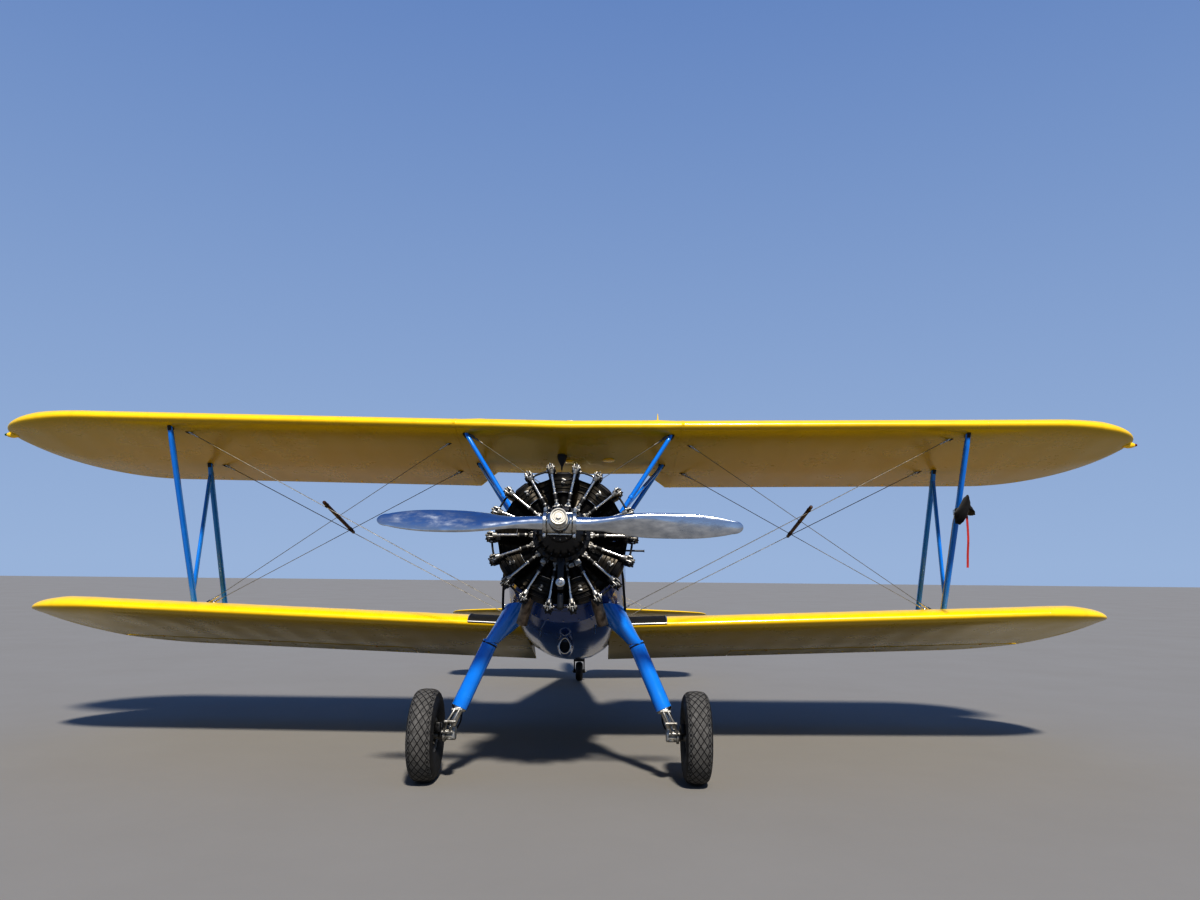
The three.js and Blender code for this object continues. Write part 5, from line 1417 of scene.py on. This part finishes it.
bm = blank()
skin(bm, [tail_ring(along(fin_rows, z), upright) for z in even(0.15, 1.1, 48)])
make("fin_cloth", bm, fin_cloth, "wing_fabric", replaces="fin", crease=50)
bm, slots, lugs = blank(), blank(), blank()
skin(bm, [tail_ring(along(rudder_rows, z), upright, min(0.022 - 0.007 * (z + 0.09), (1.166 - z) / 3))
          for z in even(-0.09, 1.15, 62)])
for z in (0.42, 0.7, 0.98):
    rod(slots, (0, RUDDER_HINGE, z - 0.0125), (0, RUDDER_HINGE, z + 0.0125), 0.036, sides=24)
    rod(lugs, (0, RUDDER_HINGE, z - 0.0118), (0, RUDDER_HINGE, z + 0.0118), 0.012, sides=20)
    block(lugs, (0.014, 0.06, 0.02), (0, RUDDER_HINGE - 0.032, z), 0.002)
carve(make("rudder_cloth", bm, fin_cloth, "wing_fabric", "rudder", "rudder", crease=50), slots)
make("rudder_hinge_lugs", lugs, bright_steel, "wire_steel")
bm = blank()
skin(bm, [tail_ring(along(plane_rows, x), level) for x in even(0, 1.709, 76)])
make("tailplane_cloth", bm, tail_cloth, "wing_fabric", replaces="tailplane_left tailplane_right", twin=True,
     crease=50)
bm = blank()
skin(bm, [tail_ring(elevator_row(x), level, min(0.023 - 0.007 * x, (1.733 - x) / 2))
          for x in even(0.062, 1.721, 84)])
rod(bm, (0, TAIL_HINGE, TAIL_LIFT), (0.08, TAIL_HINGE, TAIL_LIFT), 0.018, sides=24)
make("elevator_cloth", bm, tail_cloth, "wing_fabric", "elevators", "elevators", twin=True, crease=50)

# Tail braces of streamlined wire, and small fittings
bm, ends = blank(), blank()
for start, end in (((0.02, 6.3, 0.8), (1, 6.2, 0.312)), ((0.09, 6.2, -0.12), (1, 6.2, 0.258)),
                   ((0.02, 6.56, 0.78), (1, 6.44, 0.305)), ((0.06, 6.4, -0.1), (1, 6.44, 0.266))):
    rod(bm, start, end, 0.0028, sides=8)
    for near, _, way in both_ends((Vector(start), Vector(end))):
        rod(ends, near, near + way * 0.06, 0.006, 0.0045, 10)
        nut(ends, near + way * 0.05, near + way * 0.06, 0.0085)
        block(ends, (0.006, 0.03, 0.034), near, 0.002)
make("tail_brace_wires", bm, stainless_wire, "wire_steel", twin=True)
make("tail_brace_ends", ends, bright_steel, "wire_steel", twin=True)

# Tailwheel: a grooved tyre and a turned hub, with the solids' own fork and bracket
TAIL_AXLE = at(joints["tailwheel_spin"]["pos_m"]) @ ACROSS
tyre, hub, nuts = blank(), blank(), blank()
grooved = [(0.062, -0.031), (0.071, -0.041), (0.086, -0.0465), (0.102, -0.0435), (0.115, -0.031),
           (0.1215, -0.018), (0.1225, -0.012), (0.1205, -0.011), (0.1205, -0.008), (0.124, -0.007),
           (0.1248, -0.003), (0.1215, -0.002)]
turn(tyre, doubled(grooved) + grooved[:1], TAIL_AXLE, 64)
make("tailwheel_tyre_tread", tyre, tyre_shoulder, "tyre_rubber", "tailwheel", "tailwheel_tyre", Matrix())
turn(hub, doubled([(0, -0.034), (0.014, -0.034), (0.018, -0.031), (0.024, -0.024), (0.044, -0.014),
                   (0.054, -0.022), (0.0615, -0.029)]), TAIL_AXLE, 40)
make("tailwheel_hub_casting", hub, wheel_alloy, "wheel_alloy", "tailwheel", "tailwheel_hub", Matrix())
dress("tailwheel_fork", black_steel, "gear_steel", "tailwheel_fork")
dress("tailwheel_bracket", black_steel, "gear_steel", edge=0.004)
for way in (-1, 1):
    nut(nuts, TAIL_AXLE @ Vector((0, 0, way * 0.076)), TAIL_AXLE @ Vector((0, 0, way * 0.088)), 0.015)
    rod(nuts, TAIL_AXLE @ Vector((0, 0, way * 0.086)), TAIL_AXLE @ Vector((0, 0, way * 0.096)), 0.008)
make("tailwheel_axle_nuts", nuts, bright_steel, "gear_steel", "tailwheel_fork", place=Matrix())

# Cockpit rims, instruments, seats and controls. Dials: [sideways, height, radius]
dials = [(x, 0.31, 0.038) for x in (-0.205, -0.103, 0, 0.103, 0.205)]
dials += [(x, 0.21, 0.036) for x in (-0.154, -0.051, 0.051, 0.154)]
dials += [(x, 0.22, 0.024) for x in (-0.26, 0.26)]
lap_side = [(0.172, -0.14), (0.172, -0.108), (0.15, -0.095), (0.07, -0.0915)]
lap_row = [(-x, z) for x, z in lap_side] + [(0, -0.0905)] + lap_side[::-1]
for name, cockpit in cockpits.items():
    seat_y, panel_y = cockpit["seat"], cockpit["panel"]
    bm = blank()
    sweep(bm, [deck(x, y, 0.006) for x, y in hole_outline(cockpit, 0.004, 72)], 0.016, 14, closed=True)
    make(f"coaming_roll_{name}", bm, leather, "fuselage_fabric")

    dress(f"instrument_panel_{name}", crackle, "panel_black", edge=0.002)
    bezels, faces, marks = blank(), blank(), blank()
    for x, z, reach in dials:
        spot = at((x, panel_y, z)) @ AFT
        turn(bezels, [(reach - 0.004, 0), (reach + 0.005, 0), (reach + 0.005, 0.006), (reach, 0.01),
                      (reach - 0.003, 0.01), (reach - 0.004, 0.003), (reach - 0.004, 0)], spot, 28)
        turn(faces, [(0, 0), (reach - 0.0035, 0), (reach - 0.0035, 0.003), (0, 0.003)], spot, 28)
        for k in range(12):
            tick = spun(30 * k, "Z") @ at((reach * 0.74, 0, 0.0033))
            cube(marks, (reach * 0.18, 0.0016, 0.0008), spot @ tick)
        hand = Matrix.Rotation(2.1 + 31 * x + z, 4, "Z") @ at((reach * 0.3, 0, 0.0045))
        cube(marks, (reach * 0.75, 0.002, 0.0008), spot @ hand)
        turn(marks, [(0, 0.003), (0.004, 0.003), (0.004, 0.0056), (0, 0.006)], spot, 12)
    make(f"instrument_bezels_{name}", bezels, black_steel, "panel_black")
    make(f"instrument_faces_{name}", faces, crackle, "panel_black")
    make(f"instrument_marks_{name}", marks, dial_white, "panel_black")

    dress(f"seat_{name}", seat_alloy, "cockpit_metal")
    stuffed(f"seat_cushion_{name}", (0.335, 0.28, 0.052), at((0, seat_y - 0.038, -0.129)), canvas)
    stuffed(f"seat_back_pad_{name}", (0.35, 0.32, 0.036), at((0, seat_y + 0.152, 0.05)) @ spun(82.3), canvas)
    belt_y = seat_y + 0.02
    bm, clasp = blank(), blank()
    long = strap(bm, route([(x, belt_y, z) for x, z in lap_row], 5), Vector((0, 0.045, 0)), 0.0014)
    belt = make(f"lap_belt_{name}", bm, webbing, "cover_cloth")
    block(clasp, (0.052, 0.056, 0.008), (0, belt_y, -0.0835), 0.003)
    block(clasp, (0.03, 0.034, 0.005), (0.004, belt_y, -0.0775), 0.002)
    buckle = make(f"lap_belt_buckle_{name}", clasp, bright_steel, "wire_steel")

    # Stick with its grip and boot, pedals, side rails and two throttle levers
    bm, grips = blank(), blank()
    foot, hand = Vector((0, seat_y - 0.33, FLOOR)), Vector((0, seat_y - 0.29, 0.07))
    rod(bm, foot, hand, 0.011, sides=16)
    turn(grips, [(0, -0.05), (0.016, -0.048), (0.018, -0.02), (0.0165, 0), (0.018, 0.028), (0.021, 0.05),
                 (0.017, 0.062), (0, 0.066)], aimed(hand, hand + (hand - foot)), 20)
    turn(grips, [(0.014, 0.085), (0.03, 0.055), (0.05, 0.045), (0.07, 0.004), (0.07, 0), (0.01, 0),
                 (0.014, 0.085)], aimed(foot, hand), 24)
    for way in (-1, 1):
        x = way * 0.13
        block(bm, (0.085, 0.01, 0.12), at((x, panel_y - 0.18, FLOOR + 0.11)) @ spun(-18), 0.003)
        rod(bm, (x, panel_y - 0.172, FLOOR), (x, panel_y - 0.176, FLOOR + 0.1), 0.009)
        start, end = cockpit["hollow"]
        for z in (0.05, 0.18):
            rod(bm, (way * 0.395, start + 0.05, z), (way * 0.395, end - 0.05, z), 0.011)
    block(bm, (0.06, 0.13, 0.09), (0.375, seat_y - 0.33, 0.115), 0.008)
    for k, tall in enumerate((0.085, 0.07)):
        spot = Vector((0.345 - 0.018 * k, seat_y - 0.345 + 0.02 * k, 0.15))
        knob = spot + Vector((-0.012, -0.02, tall))
        rod(bm, spot, knob, 0.004)
        turn(grips, [(0, -0.012), (0.01, -0.008), (0.013, 0), (0.01, 0.008), (0, 0.012)], at(knob), 16)
    make(f"cockpit_controls_{name}", bm, seat_alloy, "cockpit_metal")
    make(f"cockpit_grips_{name}", grips, black_rubber, "black_steel")

    # Windshield: three flat panes that lean back, in a thin frame with a padded foot
    shield_y, shield_top = {"front": 1.745, "rear": 2.85}[name], 0.79
    corner = cockpit["half"] - 0.025
    plan = [(-corner, shield_y + 0.19), (-0.15, shield_y), (0.15, shield_y), (corner, shield_y + 0.19)]

    def shield(x, y, z):
        return Vector((x, y + 0.11 - 0.45 * (shield_top - z), z))

    bottoms = []
    for start, end in zip(plan, plan[1:]):
        for x, y, _ in even(Vector((*start, 0)), Vector((*end, 0)), 8):
            z = 0.5
            for _ in range(5):
                z = deck(x, shield(x, y, z).y, 0.004).z
            bottoms.append(shield(x, y, z))
    for spot in frame["nodes"][f"windshield_{name}"].material_slots:
        spot.material = acrylic
    bm, foot_roll = blank(), blank()
    tops = [shield(x, y, shield_top) for x, y in plan]
    uprights = zip((bottoms[0], bottoms[8], bottoms[17], bottoms[26]), tops)
    for start, end in (*uprights, *zip(tops, tops[1:])):
        rod(bm, start, end, 0.0065)
    for corner in tops:
        bmesh.ops.create_uvsphere(bm, u_segments=12, v_segments=8, radius=0.0068, matrix=at(corner))
    sweep(foot_roll, bottoms, 0.01)
    make(f"windshield_frame_{name}", bm, bright_strip, "shield_glass")
    make(f"windshield_foot_{name}", foot_roll, black_rubber, "black_steel")

stuffed("headrest_pad", (0.17, 0.09, 0.04), at((0, 3.618, 0.59)) @ spun(72), leather)


# Fittings of the wings: seam strips, tank gauge, filler cap, vent, cover plates, grommets and tip lights
def wrap_ring(x, off):
    """The points round the upper wing, standing off its faces."""
    afts = [CHORD * share for share in face_steps[1:]]
    over, under = ([on_wing(upper_wing, x, aft, face, off) for aft in afts] for face in (UPPER, LOWER))
    return over[::-1] + [wing_place(upper_wing, x, -off)] + under


bm, seams = blank(), blank()
skin(seams, [wrap_ring(x, off) for x, off in (
    (0.938, -0.003), (0.939, 0.0018), (0.961, 0.0018), (0.962, -0.003))])
make("wing_seam_strips", seams, wing_cloth, "wing_fabric", twin=True)
gauge = on_wing(upper_wing, -0.07, 0.55, LOWER)
turn(bm, [(0, 0.01), (0.042, 0.01), (0.042, -0.02), (0.036, -0.046), (0.018, -0.082), (0.0075, -0.1),
          (0.006, -0.134), (0, -0.136)], at(gauge), 32)
rod(bm, gauge - Vector((0, 0, 0.13)), gauge - Vector((0, 0, 0.15)), 0.0025)
make("tank_gauge", bm, black_steel, "black_steel")
bm = blank()
cap = at(on_wing(upper_wing, 0, 0.306, UPPER))
turn(bm, [(0, -0.01), (0.04, -0.01), (0.04, 0.006), (0.034, 0.008), (0.034, 0.036), (0.029, 0.044),
          (0, 0.045)], cap, 32)
block(bm, (0.054, 0.009, 0.014), cap @ at((0, 0, 0.049)), 0.002)
vent = on_wing(upper_wing, 0.756, 0.256, UPPER, -0.004)
rod(bm, vent, vent + Vector((0, 0, 0.052)), 0.006, sides=16)
rod(bm, vent + Vector((0, 0, 0.05)), vent + Vector((0, -0.004, 0.092)), 0.0055, 0.002, 16)
for x, aft in ((0.341, 0.666), (-0.024, 0.7)):
    turn(bm, [(0, -0.003), (0.05, -0.003), (0.054, -0.001), (0.054, 0.002), (0, 0.002)],
         at(on_wing(upper_wing, x, aft, LOWER)), 40)
make("tank_cap_vent_and_covers", bm, yellow_enamel, "wing_fabric")
bm = blank()
for wing in (upper_wing, lower_wing):
    for x in ((k + 0.5) * RIB_PITCH for k in range(4, 14)):
        turn(bm, [(0.003, -0.0022), (0.008, -0.0022), (0.0095, -0.001), (0.0095, 0.001), (0.003, 0.001),
                  (0.003, -0.0022)], at(on_wing(wing, x, edges_at(wing, x)[1] - 0.06, LOWER)), 16)
make("drain_grommets", bm, yellow_enamel, "wing_fabric", twin=True)
tip = at(wing_place(upper_wing, 4.89, 0.457, -0.008)) @ ACROSS
housing, lens_cap = blank(), blank()
turn(housing, [(0, -0.07), (0.022, -0.06), (0.029, -0.02), (0.027, 0.008), (0.019, 0.036), (0.0125, 0.044),
               (0, 0.044)], tip, 32)
pair("tip_light_housing_*", housing, yellow_enamel, "wing_fabric", replaces="tip_light_*")
turn(lens_cap, [(0, 0.04), (0.0125, 0.042), (0.0115, 0.056), (0.007, 0.064), (0, 0.066)], tip, 24)
lenses = pair("tip_light_lens_*", lens_cap, ruby_glass, "lamp_glass")
lenses[1].data.materials[0] = emerald_glass

# Pitot head on the left front interplane strut, with its line, its canvas cover and the ribbon
head = Vector((3.3186, 1.5206, 0.5019))
bm, tube_line = blank(), blank()
block(bm, (0.058, 0.07, 0.048), head + Vector((0, -0.016, 0)), 0.006)
block(bm, (0.03, 0.03, 0.07), head + Vector((0, -0.01, 0)), 0.005)
turn(bm, [(0, 0), (0.011, 0), (0.01, 0.03), (0.009, 0.06), (0.009, 0.135), (0.007, 0.148), (0.0035, 0.15),
          (0, 0.146)], aimed(head + Vector((0, -0.045, 0)), head - Vector((0, 1, 0))), 24)
make("pitot_tube", bm, bright_steel, "wire_steel", replaces="pitot_head")
line = [bay_front[0].lerp(bay_front[1], t) + Vector((-0.0215, 0.004, 0))
        for t in (0.045, 0.15, 0.25, 0.35, 0.45, 0.53)]
sweep(tube_line, route(line + [head + Vector((-0.022, -0.01, -0.02))], 4), 0.0042)
make("pitot_line", tube_line, bright_strip, "wire_steel")
# Outline of the cover as it hangs, and its rings: [station, size, how far it is drawn in round the tube]
outline = [(0.036, 0.132), (0.01, 0.098), (-0.028, 0.04), (-0.066, -0.012), (-0.074, -0.066), (-0.07, -0.108),
           (-0.044, -0.116), (-0.026, -0.104), (-0.006, -0.068), (0.02, -0.03), (0.05, -0.03), (0.08, -0.036),
           (0.066, -0.008), (0.04, 0.03), (0.042, 0.08)]
oval = route([(x, 0, z) for x, z in outline + outline[:1]], 4)[:-1]
cover_rows = [(1.236, 0.1, 0), (1.24, 0.42, 0), (1.256, 0.72, 0), (1.285, 0.9, 0), (1.32, 1, 0),
              (1.355, 1, 0), (1.39, 0.9, 0.1), (1.415, 0.72, 0.35), (1.436, 0.55, 0.7), (1.452, 0.5, 1),
              (1.462, 0.55, 1), (1.474, 0.66, 1)]
rings = []
for y, share, drawn in cover_rows:
    ring = []
    for k, point in enumerate(oval):
        a = tau * k / len(oval) + 1.2
        mouth = Vector((0.052 * cos(a), 0, 0.052 * sin(a)))
        crease = 1 + 0.05 * sin(5 * a + 60 * y) + 0.03 * sin(11 * a - 90 * y)
        spot = Vector((3.303, y, 0.47)).lerp(Vector((head.x, y, head.z)), drawn)
        ring.append(spot + (point * (1 - drawn) + mouth * drawn) * share * crease)
    rings.append(ring)
bm, cord, tail = blank(), blank(), blank()
skin(bm, rings, capped=False)
bmesh.ops.holes_fill(bm, edges=[e for e in bm.edges if e.is_boundary and e.verts[0].co.y < 1.25], sides=0)
bmesh.ops.recalc_face_normals(bm, faces=bm.faces)
cut_area = sum(face.calc_area() for face in bm.faces)
bmesh.ops.solidify(bm, geom=bm.faces[:], thickness=0.0012)
cover = make("pitot_cover_canvas", bm, canvas, "cover_cloth", replaces="pitot_cover", crease=60)
sweep(cord, [Vector((head.x + x, 1.452, head.z + z)) for x, z in circle(32, 0.0268)], 0.0022, 8, closed=True)
drawstring = make("pitot_cover_tie", cord, webbing, "cover_cloth")
fall = [(3.3138, 1.314, 0.425), (3.3142, 1.318, 0.38), (3.315, 1.33, 0.3), (3.312, 1.342, 0.21),
        (3.306, 1.364, 0.12), (3.303, 1.382, 0.04), (3.301, 1.39, 0)]
long = strap(tail, route(fall, 5), Vector((0.018, 0, 0)), 0.0012)
ribbon = make("pitot_ribbon", tail, ribbon_cloth, "cover_cloth")

# Fuselage fittings: step and inspection covers
bm, plates = blank(), blank()
top = flank(-0.3, 2.7, -0.006)
rungs = [top + Vector(on) for on in ((0, 0, 0), (0.04, 0, -0.04), (0.055, 0, -0.17), (0.08, 0, -0.2),
                                     (0.08, 0.11, -0.2), (0.055, 0.12, -0.17), (0.04, 0.12, -0.04))]
sweep(bm, route(rungs + [flank(-0.3, 2.82, -0.006)], 5), 0.008)
make("boarding_step", bm, black_steel, "black_steel")
for y, z, reach in ((1.5, 0.06, 0.055), (4.15, -0.12, 0.045), (5.6, 0.02, 0.04), (6.05, -0.02, 0.04)):
    lengthwise = flank(z, y + 0.05) - flank(z, y - 0.05)
    out = lengthwise.cross(flank(z + 0.05, y) - flank(z - 0.05, y)).normalized()
    spot, out = flank(z, y), out if out.x > 0 else -out
    turn(plates, [(0, -0.004), (reach, -0.004), (reach, 0.0015), (reach - 0.002, 0.003), (0, 0.003)],
         aimed(spot, spot + out), 36)
make("fuselage_inspection_covers", plates, painted_shade_navy_enamel, "fuselage_fabric", twin=True)

# Plain pale floor
bm = blank()
bmesh.ops.create_grid(bm, x_segments=1, y_segments=1, size=60)
floor = thing("floor", bm)
# Concrete: pale, even and matt
concrete = surface("pale_smooth_concrete", ("#86837d", "#83807a"), (0.8, 0.88), 1500, 8, 0.2)
floor.data.materials.append(concrete)

# One broad distant lamp above and ahead, and a plain sky that deepens upwards
light = bpy.data.lights.new("key_light", "SUN")
light.angle = radians(5)
light.energy = 4.1
light.color = rgb("#fff8ee")[:3]
lamp = bpy.data.objects.new("key_light", light)
scene.collection.objects.link(lamp)
lamp.matrix_world = Vector((0.46, -2.2, 2.7)).to_track_quat("Z", "Y").to_matrix().to_4x4()
world = bpy.data.worlds.new("studio")
world.use_nodes = True
scene.world = world
sky = world.node_tree
up = add(sky, "SeparateXYZ", {"Vector": add(sky, "TexCoord").outputs["Generated"]}).outputs["Z"]
rise = add(sky, "MapRange", {"Value": up, "From Min": 0.0, "From Max": 0.9}).outputs["Result"]
tint = add(sky, "Mix", {0: rise, 6: rgb("#a9bfdf"), 7: rgb("#4f79bb")}, data_type="RGBA").outputs[2]
sky.links.new(tint, sky.nodes["Background"].inputs["Color"])
sky.nodes["Background"].inputs["Strength"].default_value = 0.75

scene.view_settings.view_transform = "Standard"
scene.view_settings.look = "High Contrast"
scene.view_settings.exposure = -0.1
